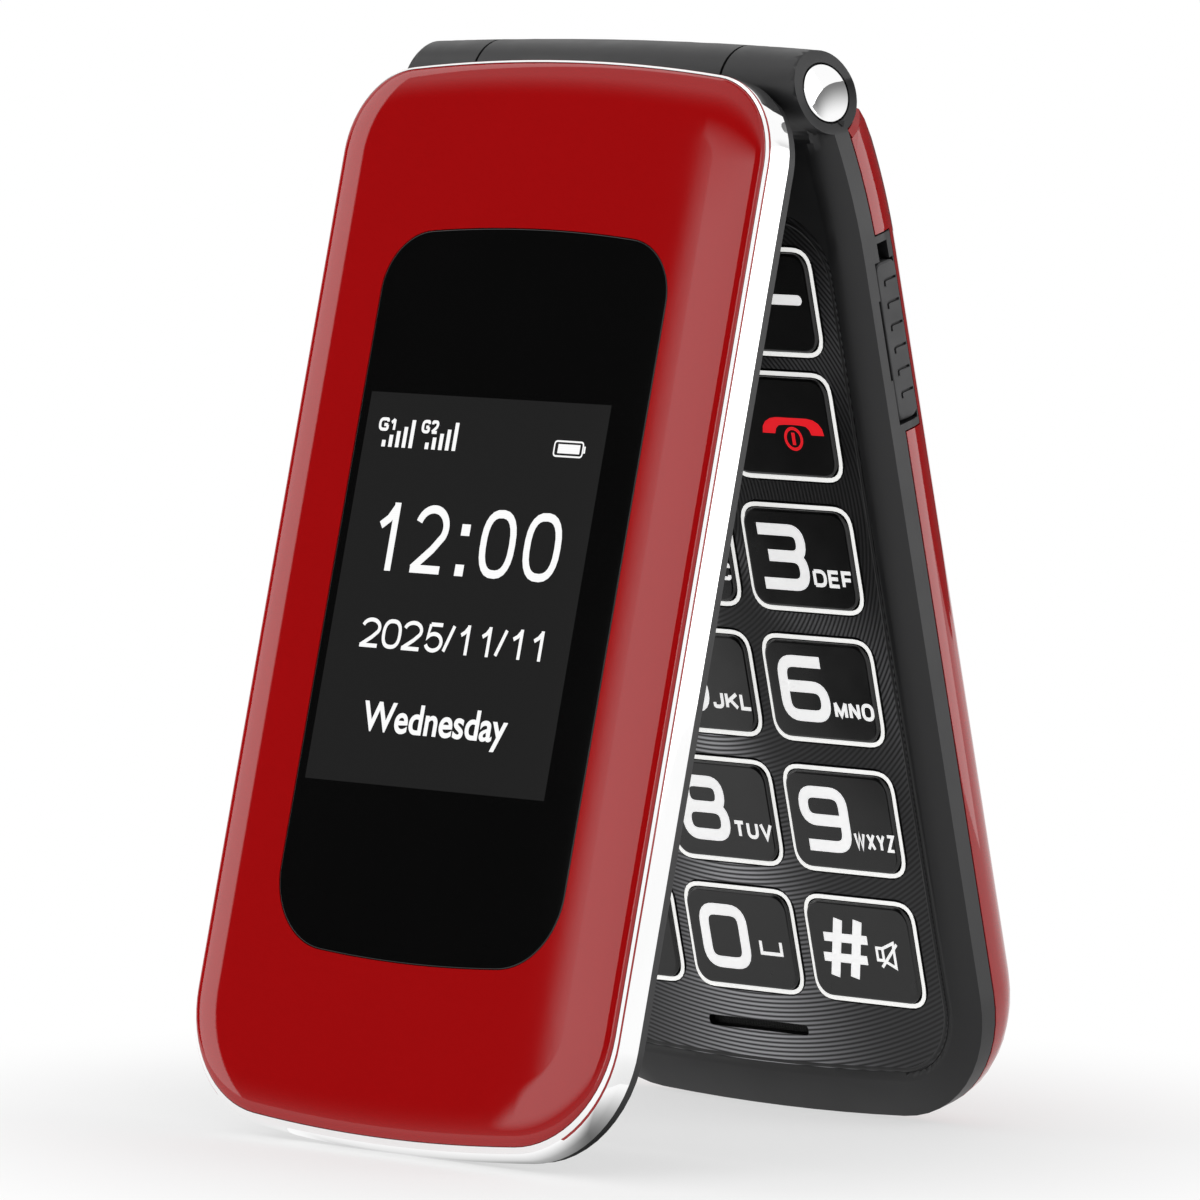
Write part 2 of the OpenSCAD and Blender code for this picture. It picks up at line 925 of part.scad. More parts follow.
module key_hash() {
    key(1, last_row);
}

// Lid

module lid_frame() {
    color("#3c3c3c")
        lid_pose()
            difference() {
                union() {
                    hull() {
                        slice(lid_inner_h, lid_outline(bevel_in, 0));
                        plate(strip_h, band_h - strip_h, lid_outline(strip_in, 0));
                    }
                    difference() {
                        plate(band_h - fit, seat_h - band_h, lid_outline(trim_w + fit, 0));
                        plate(0, far, lid_outline(cavity_in, 0));
                    }
                    barrel(-seam_x + side_fit, seam_x - side_fit);
                }
                plate(cavity_h, far, plate_outline(lid_hw - cavity_in, cavity_top,
                    lid_len - cavity_in, cavity_r, lid_end_r - cavity_in, lid_bow_r));
                plate(0, lid_inner_h + window_t + fit, inner_window_outline(-fit));
                plate(0, far, inner_window_outline(inner_display_margin));
                for (side = [0, 1])
                    mirror([side, 0, 0])
                        axle(seam_x - side_fit, far, barrel_clear_r);
                axle(-far, far, knuckle_bore_r);
                translate([0, -ear_row, 0])
                    linear_extrude(far)
                        rounded_rect(ear_w, ear_h, ear_h * slot_round);
                for (x = [-bumper_x, bumper_x])
                    post(x, bumper_row, 0, lid_inner_h + bumper_seat, bumper_r + fit);
                for (x = [-plug_x, plug_x], v = plug_rows)
                    post(x, v, 0, lid_inner_h + plug_t, plug_r + fit);
            }
}

function inner_window_outline(inset) =
    plate_outline(inner_window_w / 2 - inset, inner_window_top + inset,
        inner_window_top + inner_window_h - inset, inner_window_r, inner_window_r, bow_r);

module lid_trim() {
    trim_top = seat_h + lip_h;
    color("#e4e6e8")
        lid_pose()
            difference() {
                hull() {
                    plate(band_h, trim_top - trim_roll - band_h, lid_outline(0, 0));
                    for (i = [1:bevel_steps]) {
                        a = 90 * i / bevel_steps;
                        part = 1 - cos(a);
                        slice(trim_top - slice_t - trim_roll * (1 - sin(a)),
                            lid_outline(lip_w / 2 * part, end_draw * part));
                    }
                }
                plate(seat_h, far, lid_outline(lip_w, end_draw));
                plate(0, far, lid_outline(trim_w, 0));
            }
}

module lid_cover() {
    color("#a01012")
        lid_pose()
            difference() {
                hull() {
                    plate(seat_h + fit, lid_cover_t - crown_drop - fit, lid_outline(cover_in, end_draw));
                    for (i = [1:crown_steps]) {
                        t = i / crown_steps;
                        slice(lid_face_h - slice_t - crown_drop * pow(1 - t, 2),
                            lid_outline(cover_in + crown_in * t * t, end_draw));
                    }
                }
                plate(lid_face_h - window_t - fit, far, window_outline(-fit));
                block(-display_shift, display_mid, 0, far,
                    display_w + 2 * display_margin, display_h + 2 * display_margin);
            }
}

module outer_window() {
    color("#0a0a0a")
        lid_pose()
            plate(lid_face_h - window_t, window_t, window_outline(0));
}

module outer_display() {
    color("#202020")
        lid_pose()
            block(-display_shift, display_mid, outer_display_h, outer_display_h + outer_display_t,
                display_w + 4 * display_margin, display_h + 4 * display_margin);
}

module lid_board() {
    color("#1f5a34")
        lid_pose()
            block(0, inner_window_top + inner_window_h / 2, lid_board_h, lid_board_h + lid_board_t,
                inner_window_w - 2 * lid_board_side, inner_window_h + 2 * lid_board_end);
}

module inner_display() {
    color("#14161a")
        lid_pose()
            block(0, inner_window_top + inner_window_h / 2, cavity_h, cavity_h + inner_display_t,
                inner_window_w - 2 * inner_display_in, inner_window_h - 2 * inner_display_in);
}

module inner_window() {
    color("#0a0a0a")
        lid_pose()
            plate(lid_inner_h, window_t, inner_window_outline(0));
}

module earpiece() {
    color("#26282a")
        lid_pose()
            block(0, ear_row, cavity_h, cavity_h + ear_t, ear_module_w, ear_module_h);
}

module earpiece_mesh() {
    color("#8c8c8c")
        lid_pose()
            translate([0, -ear_row, cavity_h - mesh_t])
                linear_extrude(mesh_t)
                    rounded_rect(ear_w - 2 * fit, ear_h - 2 * fit, ear_h * slot_round - fit);
}

module lid_bumpers() {
    color("#1c1c1c")
        lid_pose()
            for (x = [-bumper_x, bumper_x])
                post(x, bumper_row, lid_inner_h - bumper_proud, lid_inner_h + bumper_seat, bumper_r);
}

module lid_plugs() {
    color("#333333")
        lid_pose()
            for (x = [-plug_x, plug_x], v = plug_rows)
                post(x, v, lid_inner_h, lid_inner_h + plug_t, plug_r);
}

module lid_magnet() {
    color("#a8aaac")
        lid_pose()
            post(magnet_x, ear_row, cavity_h, cavity_h + magnet_t, magnet_r);
}

// Hinge

module hinge_shaft() {
    color("#aeb2b6")
        base_pose()
            axle(cartridge_x[0] + side_fit, pin_reach - side_fit, pin_r);
}

module hinge_pin() {
    color("#aeb2b6")
        base_pose()
            axle(side_fit - pin_reach, -pin_inner, pin_r);
}

// Disc with a low dome, set square to the drawn-in end of the knuckle
module end_cap() {
    dome = [for (i = [0:round_steps]) let (r = cap_r * (1 - i / round_steps))
        [r, cap_proud + cap_dome * (1 - pow(r / cap_r, 2))]];
    translate([knuckle_x, 0, 0])
        rotate([0, 0, cap_tilt])
            rotate([0, 90, 0])
                rotate_extrude()
                    polygon(concat([[0, -cap_t], [cap_r, -cap_t]], dome));
}

module hinge_cap_left() {
    color("#e4e6e8")
        base_pose()
            mirror([1, 0, 0])
                end_cap();
}

module hinge_cap_right() {
    color("#e4e6e8")
        base_pose()
            end_cap();
}

module hinge_cartridge() {
    color("#9da1a5")
        lid_pose()
            difference() {
                axle(cartridge_x[0], cartridge_x[1], knuckle_bore_r - fit);
                axle(cartridge_x[0] - over, far, pin_r + shaft_fit);
            }
}

module hinge_bush() {
    color("#d8d4c4")
        lid_pose()
            difference() {
                axle(bush_x[0], bush_x[1], knuckle_bore_r - fit);
                axle(-far, bush_x[1] + over, pin_r + shaft_fit);
            }
}

module hinge_flex() {
    color("#b5762a")
        lid_pose()
            difference() {
                axle(flex_x[0], flex_x[1], flex_r);
                axle(flex_x[0] - over, flex_x[1] + over, flex_r - flex_t);
                translate([-far / 2, -flex_slot / 2, 0])
                    cube([far, flex_slot, far]);
            }
}

base_front_frame();
base_rear_housing();
battery_cover();
battery();
battery_contacts();
card_holder();
main_board();
dome_sheet();
key_mat();
keypad_panel();
microphone();
loudspeaker();
vibration_motor();
camera();
camera_lens();
flash_lamp();
data_socket();
port_cover();
volume_key();
base_screws();
hinge_shaft();
hinge_pin();
hinge_cap_left();
hinge_cap_right();
soft_key_left();
soft_key_right();
call_key();
end_key();
nav_ring();
ok_key();
for (i = [0:len(DIGIT_NODES) - 1])
    digit_key(i);
key_star();
key_0();
key_hash();
lid_frame();
lid_trim();
lid_cover();
outer_window();
outer_display();
lid_board();
inner_display();
inner_window();
earpiece();
earpiece_mesh();
lid_bumpers();
lid_plugs();
lid_magnet();
hinge_cartridge();
hinge_bush();
hinge_flex();
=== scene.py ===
import json
import math

import bmesh
import bpy
from mathutils import Matrix, Vector


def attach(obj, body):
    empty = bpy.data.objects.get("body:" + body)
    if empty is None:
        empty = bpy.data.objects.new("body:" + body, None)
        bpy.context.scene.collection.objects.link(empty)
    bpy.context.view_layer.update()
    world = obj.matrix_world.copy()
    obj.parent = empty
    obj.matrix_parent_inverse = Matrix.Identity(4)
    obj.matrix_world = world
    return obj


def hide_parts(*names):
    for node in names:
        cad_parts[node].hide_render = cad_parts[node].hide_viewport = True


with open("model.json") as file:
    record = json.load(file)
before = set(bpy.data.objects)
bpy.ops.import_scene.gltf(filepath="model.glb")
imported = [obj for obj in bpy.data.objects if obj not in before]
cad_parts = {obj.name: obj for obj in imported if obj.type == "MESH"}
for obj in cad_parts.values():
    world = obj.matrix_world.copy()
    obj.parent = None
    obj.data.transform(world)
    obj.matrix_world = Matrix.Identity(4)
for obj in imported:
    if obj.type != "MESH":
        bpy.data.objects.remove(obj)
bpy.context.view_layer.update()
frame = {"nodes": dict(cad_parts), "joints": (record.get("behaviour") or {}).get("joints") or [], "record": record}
print("frame loaded:", len(frame["nodes"]), "nodes")

mm = 0.001


def named(rows, name):
    return next(row for row in rows if row["name"] == name)


def addObject(name, data):
    thing = bpy.data.objects.new(name, data)
    bpy.context.scene.collection.objects.link(thing)
    return thing


# the two halves in their own flat frames: x across, y towards the hinge, z out of the keypad or the lid's face
pressJoint = named(frame["joints"], "key_5_press")
lidMount = named(frame["record"]["mounts"], "lid_rest")
hinge = Vector(named(frame["joints"], "lid_hinge")["pos_m"])
baseLean = math.atan2(pressJoint["axis"][2], pressJoint["axis"][1])
lidLean = math.atan2(lidMount["axis"][2], -lidMount["axis"][1])
baseTurn = math.pi / 2 + baseLean
lidTurn = math.pi / 2 - lidLean
baseFrame = Matrix.Translation(hinge) @ Matrix.Rotation(baseTurn, 4, "X")
lidFrame = Matrix.Translation(hinge) @ Matrix.Rotation(lidTurn, 4, "X")


# camera at the photograph's viewing angle
cameraSettings = {
    "azimuth": 43.217,
    "elevation": 4.250,
    "roll": 0.495,
    "lens": 288.59,
    "distance": 911.48,
    "aimRight": -2.279,
    "aimUp": -48.593,
    "sensor": 36.0,
    "clip": (0.05, 20.0),
}


def addCamera(settings):
    azimuth = math.radians(settings["azimuth"])
    elevation = math.radians(settings["elevation"])
    back = Vector((math.sin(azimuth) * math.cos(elevation),
                   -math.cos(azimuth) * math.cos(elevation),
                   math.sin(elevation)))
    turn = (-back).to_track_quat("-Z", "Y").to_matrix()
    turn = turn @ Matrix.Rotation(math.radians(settings["roll"]), 3, "Z")
    aim = hinge + turn @ Vector((settings["aimRight"] * mm, settings["aimUp"] * mm, 0))
    data = bpy.data.cameras.new("camera")
    data.lens = settings["lens"]
    data.sensor_width = settings["sensor"]
    data.clip_start, data.clip_end = settings["clip"]
    camera = addObject("camera", data)
    camera.matrix_world = Matrix.Translation(aim + back * settings["distance"] * mm) @ turn.to_4x4()
    bpy.context.scene.camera = camera
    return camera


camera = addCamera(cameraSettings)
bpy.context.scene.view_settings.view_transform = "Standard"


# colours and nodes
waveStep = 2 * math.pi / 20  # a wave texture repeats after this length at scale 1
noiseSpan = (0.3, 0.7)  # most of a noise texture lies between these


def linear(hexColour):
    channels = [int(hexColour[i:i + 2], 16) / 255 for i in (1, 3, 5)]
    return tuple(c / 12.92 if c <= 0.04045 else ((c + 0.055) / 1.055) ** 2.4 for c in channels) + (1,)


def addNode(tree, kind, settings=None, inputs=None, links=None):
    node = tree.nodes.new(kind)
    for key, value in (settings or {}).items():
        setattr(node, key, value)
    for key, value in (inputs or {}).items():
        node.inputs[key].default_value = value
    for key, source in (links or {}).items():
        tree.links.new(source, node.inputs[key])
    return node


def startMaterial(name, **sockets):
    material = bpy.data.materials.new(name)
    material.use_nodes = True
    shader = material.node_tree.nodes["Principled BSDF"]
    for key, value in sockets.items():
        shader.inputs[key.replace("_", " ")].default_value = value
    return material, material.node_tree, shader


# object coordinates in millimetres, turned into a half's own flat frame
def inMillimetres(tree, turn=0.0):
    place = addNode(tree, "ShaderNodeTexCoord")
    return addNode(tree, "ShaderNodeMapping", {"vector_type": "TEXTURE"},
                   {"Location": hinge, "Rotation": (turn, 0, 0), "Scale": (mm, mm, mm)},
                   {"Vector": place.outputs["Object"]}).outputs["Vector"]


# a moulded or drawn surface: two close tones in patches, uneven gloss and a fine grain, all sizes in mm
def grainyMaterial(name, tones, patch, gloss, grain, depth, stretch=(1, 1, 1), glow=0.0, **sockets):
    material, tree, shader = startMaterial(name, **sockets)
    place = addNode(tree, "ShaderNodeMapping", None, {"Scale": stretch}, {"Vector": inMillimetres(tree)})
    patches = addNode(tree, "ShaderNodeTexNoise", None, {"Scale": 1 / patch, "Detail": 3.0},
                      {"Vector": place.outputs["Vector"]})
    colour = addNode(tree, "ShaderNodeMix", {"data_type": "RGBA"}, {6: linear(tones[0]), 7: linear(tones[1])},
                     {0: patches.outputs["Fac"]})
    tree.links.new(colour.outputs[2], shader.inputs["Base Color"])
    # glow: emission in the surface's own colour, painted light that lifts a surface out of shade
    if glow > 0:
        tree.links.new(colour.outputs[2], shader.inputs["Emission Color"])
        shader.inputs["Emission Strength"].default_value = glow
    fine = addNode(tree, "ShaderNodeTexNoise", None, {"Scale": 1 / grain, "Detail": 2.0},
                   {"Vector": place.outputs["Vector"]})
    shine = addNode(tree, "ShaderNodeMapRange", None,
                    {"From Min": noiseSpan[0], "From Max": noiseSpan[1], "To Min": gloss[0], "To Max": gloss[1]},
                    {"Value": patches.outputs["Fac"]})
    tree.links.new(shine.outputs["Result"], shader.inputs["Roughness"])
    bump = addNode(tree, "ShaderNodeBump", None, {"Strength": 1.0, "Distance": depth * mm},
                   {"Height": fine.outputs["Fac"]})
    tree.links.new(bump.outputs["Normal"], shader.inputs["Normal"])
    return material


finishes = {
    # clear-coated ABS: deep even red under a smooth coat that has a slight orange peel
    "red_gloss": grainyMaterial("redLacquerOnAbs", ("#a60b0d", "#ac0c0f"), 18, (0.02, 0.03), 1.6, 0.0002, IOR=1.5),
    # spark-eroded ABS: dark grey with a dull, finely pitted skin
    "dark_casing": grainyMaterial("sparkErodedAbs", ("#1f1f20", "#262627"), 6, (0.36, 0.46), 0.22, 0.004, IOR=1.53,
                                  Specular_IOR_Level=0.35),
    # moulded polycarbonate of the inner housing: a shade paler and duller than the casing
    "inner_housing": grainyMaterial("mouldedPolycarbonate", ("#28282a", "#2f2f31"), 5, (0.5, 0.62), 0.3, 0.006,
                                    IOR=1.58),
    # plated ABS: a mirror with the faint waviness of the plastic under it
    "bright_band": grainyMaterial("platedChrome", ("#f8f8f8", "#ffffff"), 9, (0.03, 0.05), 2.5, 0.0002, Metallic=1.0),
    # back-printed acrylic: deep black under a polished face with faint wiping marks
    "black_window": grainyMaterial("backPrintedAcrylic", ("#070707", "#0a0a0a"), 14, (0.012, 0.02), 3.0, 0.0001,
                                   IOR=1.49),
    # in-mould decorated polycarbonate: black satin caps with a soft sheen
    "key_caps": grainyMaterial("satinPolycarbonate", ("#0d0d0d", "#131313"), 4, (0.2, 0.28), 0.18, 0.001, IOR=1.5),
    # silicone of the key mat, coloured near black below its rims as painted shade: soft and dull
    "white_mat": grainyMaterial("siliconePaintedShade", ("#0e0e0e", "#141414"), 3, (0.45, 0.55), 0.3, 0.002, IOR=1.41),
    # thermoplastic rubber: dark and matt, with the bloom that such rubber gets
    "black_rubber": grainyMaterial("mouldedRubber", ("#353536", "#3f3f40"), 2.5, (0.55, 0.7), 0.25, 0.008, IOR=1.5),
    # moulded ABS of the side key: a shade paler than the casing, and as dull
    "side_key": grainyMaterial("mouldedSideKey", ("#262627", "#2e2e2f"), 3, (0.42, 0.52), 0.2, 0.004, IOR=1.53),
    # plain steel: grey metal, rolled, with long fine scratches
    "steel": grainyMaterial("rolledSteel", ("#9a9c9e", "#b2b4b6"), 2.0, (0.25, 0.4), 0.12, 0.002,
                            stretch=(1, 0.08, 1), Metallic=1.0),
    # heat-shrunk sleeve of the battery: dark blue-grey film
    "battery_can": grainyMaterial("shrinkSleeve", ("#2c2f36", "#343840"), 7, (0.3, 0.42), 0.8, 0.006, IOR=1.5),
    # hard gold plate on bronze: warm yellow metal
    "contacts": grainyMaterial("gildedBronze", ("#c79a3c", "#d6ac52"), 1.0, (0.18, 0.3), 0.2, 0.001, Metallic=1.0),
    # glass-fibre board under green solder resist: the weave shows as a faint ripple
    "circuit_board": grainyMaterial("solderResist", ("#114d28", "#1a5f35"), 1.4, (0.3, 0.45), 0.5, 0.01, IOR=1.5),
    # stamped cans of the sound parts, with a black oxide skin: near black and dull
    "sound_parts": grainyMaterial("blackOxideCan", ("#101011", "#19191a"), 2.0, (0.4, 0.55), 0.2, 0.003, IOR=1.5),
    # coated optical glass: almost black, with a hint of blue
    "lens": grainyMaterial("coatedGlass", ("#0c0e14", "#12151d"), 3.0, (0.02, 0.04), 2.0, 0.0001, IOR=1.7),
    # polyimide cable: amber film
    "flat_cable": grainyMaterial("polyimideFilm", ("#a5651c", "#b8772a"), 2.0, (0.25, 0.35), 0.5, 0.002, IOR=1.6),
    # acetal of the bush: off-white and waxy
    "bush": grainyMaterial("turnedAcetal", ("#d6d2c4", "#e2decf"), 2.0, (0.35, 0.45), 0.3, 0.002, IOR=1.48),
}


# spun and black-anodised aluminium: fine grooves round one centre; the light in the grooves, strongest in fans, is
# painted highlight in the colour
spunSettings = {
    "centre": (0.0, -40.0, 0.0),
    "pitch": 0.45,
    "depth": 0.012,
    "bump": 0.8,
    "metallic": 0.4,
    "dark": "#121213",
    "light": "#c4c4c8",
    "plain": 0.06,
    # each painted highlight fan: which way it runs from the centre, and back, in degrees; how light it is
    "paintedHighlightFans": ((90, 1.0), (35, 0.3), (145, 0.3)),
    "narrow": 16.0,
    "face": 2.35,
    # uneven gloss: patches in each millimetre, and its two ends
    "drift": 0.09,
    "gloss": (0.28, 0.4),
}


def spunAluminium(settings):
    material, tree, shader = startMaterial("spunAnodisedAluminium", Metallic=settings["metallic"])
    flat = addNode(tree, "ShaderNodeMapping", {"vector_type": "TEXTURE"}, {"Location": settings["centre"]},
                   {"Vector": inMillimetres(tree, baseTurn)}).outputs["Vector"]
    rings = addNode(tree, "ShaderNodeTexWave", {"wave_type": "RINGS", "rings_direction": "Z"},
                    {"Scale": waveStep / settings["pitch"], "Distortion": 0.0, "Detail": 0.0}, {"Vector": flat})
    place = addNode(tree, "ShaderNodeSeparateXYZ", links={0: flat})
    turn = addNode(tree, "ShaderNodeMath", {"operation": "ARCTAN2"},
                   links={0: place.outputs["Y"], 1: place.outputs["X"]})
    share = None
    for angle, level in settings["paintedHighlightFans"]:
        double = addNode(tree, "ShaderNodeMath", {"operation": "MULTIPLY_ADD"}, {1: 2.0, 2: -2 * math.radians(angle)},
                         {0: turn.outputs[0]})
        wave = addNode(tree, "ShaderNodeMath", {"operation": "COSINE"}, links={0: double.outputs[0]})
        lobe = addNode(tree, "ShaderNodeMath", {"operation": "MAXIMUM"}, {1: 0.0}, {0: wave.outputs[0]})
        paintedFan = addNode(tree, "ShaderNodeMath", {"operation": "POWER"}, {1: settings["narrow"]}, {0: lobe.outputs[0]})
        share = addNode(tree, "ShaderNodeMath", {"operation": "MULTIPLY_ADD"}, {1: level, 2: settings["plain"]},
                        {0: paintedFan.outputs[0], **({2: share} if share else {})}).outputs[0]
    # the painted highlights stay off the cut edges, which keep the dark tone
    face = addNode(tree, "ShaderNodeMath", {"operation": "GREATER_THAN"}, {1: settings["face"]},
                   {0: place.outputs["Z"]})
    lit = addNode(tree, "ShaderNodeMath", {"operation": "MULTIPLY"}, links={0: face.outputs[0], 1: share})
    tone = addNode(tree, "ShaderNodeMath", {"operation": "MULTIPLY"},
                   links={0: rings.outputs["Fac"], 1: lit.outputs[0]})
    colour = addNode(tree, "ShaderNodeMix", {"data_type": "RGBA"},
                     {6: linear(settings["dark"]), 7: linear(settings["light"])}, {0: tone.outputs[0]})
    tree.links.new(colour.outputs[2], shader.inputs["Base Color"])
    drift = addNode(tree, "ShaderNodeTexNoise", None, {"Scale": settings["drift"], "Detail": 2.0}, {"Vector": flat})
    shine = addNode(tree, "ShaderNodeMapRange", None,
                    {"To Min": settings["gloss"][0], "To Max": settings["gloss"][1]}, {"Value": drift.outputs["Fac"]})
    tree.links.new(shine.outputs["Result"], shader.inputs["Roughness"])
    bump = addNode(tree, "ShaderNodeBump", None, {"Strength": settings["bump"], "Distance": settings["depth"] * mm},
                   {"Height": rings.outputs["Fac"]})
    tree.links.new(bump.outputs["Normal"], shader.inputs["Normal"])
    return material


finishes["spun_panel"] = spunAluminium(spunSettings)


# woven wire or thread: strands cross with dark holes between them, drawn at 0.35 mm so that they show
weave = {"pitch": 0.35, "depth": 0.05}


def wovenMesh(name, turn, hole, strand, **sockets):
    material, tree, shader = startMaterial(name, **sockets)
    place = inMillimetres(tree, turn)
    wires = [addNode(tree, "ShaderNodeTexWave", {"bands_direction": axis}, {"Scale": waveStep / weave["pitch"]},
                     {"Vector": place}) for axis in "XY"]
    top = addNode(tree, "ShaderNodeMath", {"operation": "MAXIMUM"},
                  links={0: wires[0].outputs["Fac"], 1: wires[1].outputs["Fac"]})
    ramp = addNode(tree, "ShaderNodeMix", {"data_type": "RGBA"}, {6: linear(hole), 7: linear(strand)},
                   {0: top.outputs[0]})
    tree.links.new(ramp.outputs[2], shader.inputs["Base Color"])
    bump = addNode(tree, "ShaderNodeBump", None, {"Strength": 1.0, "Distance": weave["depth"] * mm},
                   {"Height": top.outputs[0]})
    tree.links.new(bump.outputs["Normal"], shader.inputs["Normal"])
    return material


finishes["mesh"] = wovenMesh("wovenStainless", lidTurn, "#111111", "#9c9c9c", Metallic=1.0, Roughness=0.35)
dustCloth = wovenMesh("wovenPolyester", baseTurn, "#040404", "#0d0d0d", Roughness=0.8)


# lit liquid crystal behind acrylic: an even dark glow with a fine row structure, polished on top
def litScreen(name, dark, light, row=0.18):
    material, tree, shader = startMaterial(name, Base_Color=linear("#050505"), Roughness=0.04, IOR=1.49)
    rows = addNode(tree, "ShaderNodeTexWave", {"bands_direction": "Y"}, {"Scale": waveStep / row},
                   {"Vector": inMillimetres(tree, lidTurn)})
    glow = addNode(tree, "ShaderNodeMix", {"data_type": "RGBA"}, {6: linear(dark), 7: linear(light)},
                   {0: rows.outputs["Fac"]})
    tree.links.new(glow.outputs[2], shader.inputs["Emission Color"])
    shader.inputs["Emission Strength"].default_value = 1.0
    return material


finishes["display"] = litScreen("litScreenGround", "#1e1e1e", "#212121")
litPixels = litScreen("litScreenPixels", "#fafafa", "#ffffff")
# bare silicone of the rims round the keys: milky, with a painted glow of emission that lifts them out of the lid's
# shade
rimsPaintedGlow = grainyMaterial("siliconePaintedGlow", ("#f2f2f0", "#fafaf8"), 3.0, (0.4, 0.5), 0.3, 0.001, glow=0.7, IOR=1.41)
# printed inks on the keys: even films with a painted glow of emission that lifts them out of the lid's shade, as well
# as reflecting
legendInk = grainyMaterial("whiteInkPaintedGlow", ("#f6f6f6", "#ffffff"), 2.0, (0.3, 0.4), 0.2, 0.001, glow=0.6, IOR=1.5)
redInk = grainyMaterial("redInkPaintedGlow", ("#ee1622", "#fa1c28"), 2.0, (0.3, 0.4), 0.2, 0.001, glow=0.6, IOR=1.5)
greenInk = grainyMaterial("greenInkPaintedGlow", ("#12a83c", "#18b845"), 2.0, (0.3, 0.4), 0.2, 0.001, glow=0.5, IOR=1.5)

for part in frame["record"]["subparts"]:
    node = frame["nodes"][part["node"]]
    node.data.materials.clear()
    node.data.materials.append(finishes[part["material_slot"]])
slotOf = {part["node"]: part["material_slot"] for part in frame["record"]["subparts"]}
bodyOf = {node: body for body, nodes in frame["record"]["behaviour"]["bodies"].items() for node in nodes}
print("materials set:", len(finishes))


# modelling helpers; pieces are drawn in millimetres in a half's flat frame and placed at the end
def pick(piece):
    bpy.ops.object.select_all(action="DESELECT")
    piece.select_set(True)
    bpy.context.view_layer.objects.active = piece


def applyModifier(piece, kind, **settings):
    pick(piece)
    modifier = piece.modifiers.new(kind.lower(), kind)
    for key, value in settings.items():
        setattr(modifier, key, value)
    bpy.ops.object.modifier_apply(modifier=modifier.name)


def cutAway(piece, cutter):
    applyModifier(piece, "BOOLEAN", operation="DIFFERENCE", solver="EXACT", object=cutter)
    bpy.data.objects.remove(cutter)


def markEdges(piece, wanted):
    bpy.ops.mesh.select_mode(type="EDGE")
    bpy.ops.mesh.select_all(action="DESELECT")
    shape = bmesh.from_edit_mesh(piece.data)
    shape.edges.index_update()
    for edge in shape.edges:
        if wanted(edge):
            edge.select_set(True)
    bmesh.update_edit_mesh(piece.data)


# gives a piece its place, smooth shading, the finish of its slot and its body, and hides the nodes that it stands for
def finishPiece(piece, half, body, slot, nodes=(), material=None, angle=30):
    if half is not None:
        piece.data.transform(half @ Matrix.Scale(mm, 4))
    pick(piece)
    bpy.ops.object.shade_smooth_by_angle(angle=math.radians(angle))
    applyModifier(piece, "WEIGHTED_NORMAL", keep_sharp=True)
    piece.data.materials.clear()
    piece.data.materials.append(material or finishes[slot])
    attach(piece, body)
    if nodes:
        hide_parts(*nodes)


# edge loops of equal count, drawn one above the other and bridged in pairs
def loft(name, loops, ring=False):
    count = len(loops[0])
    mesh = bpy.data.meshes.new(name)
    edges = [(k * count + i, k * count + (i + 1) % count) for k in range(len(loops)) for i in range(count)]
    mesh.from_pydata([point for loop in loops for point in loop], edges, [])
    piece = addObject(name, mesh)
    pick(piece)
    bpy.ops.object.mode_set(mode="EDIT")
    for k in range(len(loops) if ring else len(loops) - 1):
        pair = (k, (k + 1) % len(loops))
        markEdges(piece, lambda edge: edge.index < len(edges) and edge.index // count in pair)
        bpy.ops.mesh.bridge_edge_loops()
    if not ring:
        for k in (0, len(loops) - 1):
            markEdges(piece, lambda edge: edge.index < len(edges) and edge.index // count == k)
            bpy.ops.mesh.edge_face_add()
    bpy.ops.mesh.select_all(action="SELECT")
    bpy.ops.mesh.normals_make_consistent(inside=False)
    bpy.ops.object.mode_set(mode="OBJECT")
    return piece


# block with rounded corners seen from above and a softened top edge
def roundedBlock(name, width, height, radius, low, top, edge):
    bpy.ops.object.select_all(action="DESELECT")
    bpy.ops.mesh.primitive_cube_add(size=1, location=(0, 0, (low + top) / 2))
    piece = bpy.context.object
    piece.name = name
    piece.scale = (width, height, top - low)
    bpy.ops.object.transform_apply(location=True, rotation=True, scale=True)
    bpy.ops.object.mode_set(mode="EDIT")
    markEdges(piece, lambda edge: abs(edge.verts[0].co.z - edge.verts[1].co.z) > 1e-3)
    bpy.ops.mesh.bevel(offset=radius, segments=8, affect="EDGES")
    if edge > 0:
        softenTop(piece, top, edge)
    bpy.ops.object.mode_set(mode="OBJECT")
    return piece


# in edit mode: rounds the rim where upright walls meet the top, inside the given half width
def softenTop(piece, top, width, within=1e3):
    def isRim(edge):
        high = all(vert.co.z > top - 1e-3 and abs(vert.co.x) < within for vert in edge.verts)
        return high and any(abs(face.normal.z) < 0.3 for face in edge.link_faces)
    markEdges(piece, isRim)
    bpy.ops.mesh.bevel(offset=width, segments=4, profile=0.5, affect="EDGES")


def arcPoints(cx, cy, radius, start, end, steps):
    return [(cx + radius * math.cos(start + (end - start) * i / steps),
             cy + radius * math.sin(start + (end - start) * i / steps)) for i in range(steps + 1)]


# right half of a bowed end with its corner, from the middle to the side
def endHalf(halfWidth, reach, radius, bow):
    cy = bow - reach
    x = halfWidth - radius
    y = cy - math.sqrt((bow - radius) ** 2 - x * x)
    turn = math.atan2(y - cy, x)
    return arcPoints(0, cy, bow, -math.pi / 2, turn, 8) + arcPoints(x, y, radius, turn, 0, 16)[1:]


def bowedOutline(halfWidth, top, end, topRadius, endRadius, bow):
    upper = [(x, -y) for x, y in reversed(endHalf(halfWidth, -top, topRadius, bow))]
    half = endHalf(halfWidth, end, endRadius, bow) + upper
    return half + [(-x, y) for x, y in reversed(half[1:-1])]


def atHeight(outline, z):
    return [(x, y, z) for x, y in outline]


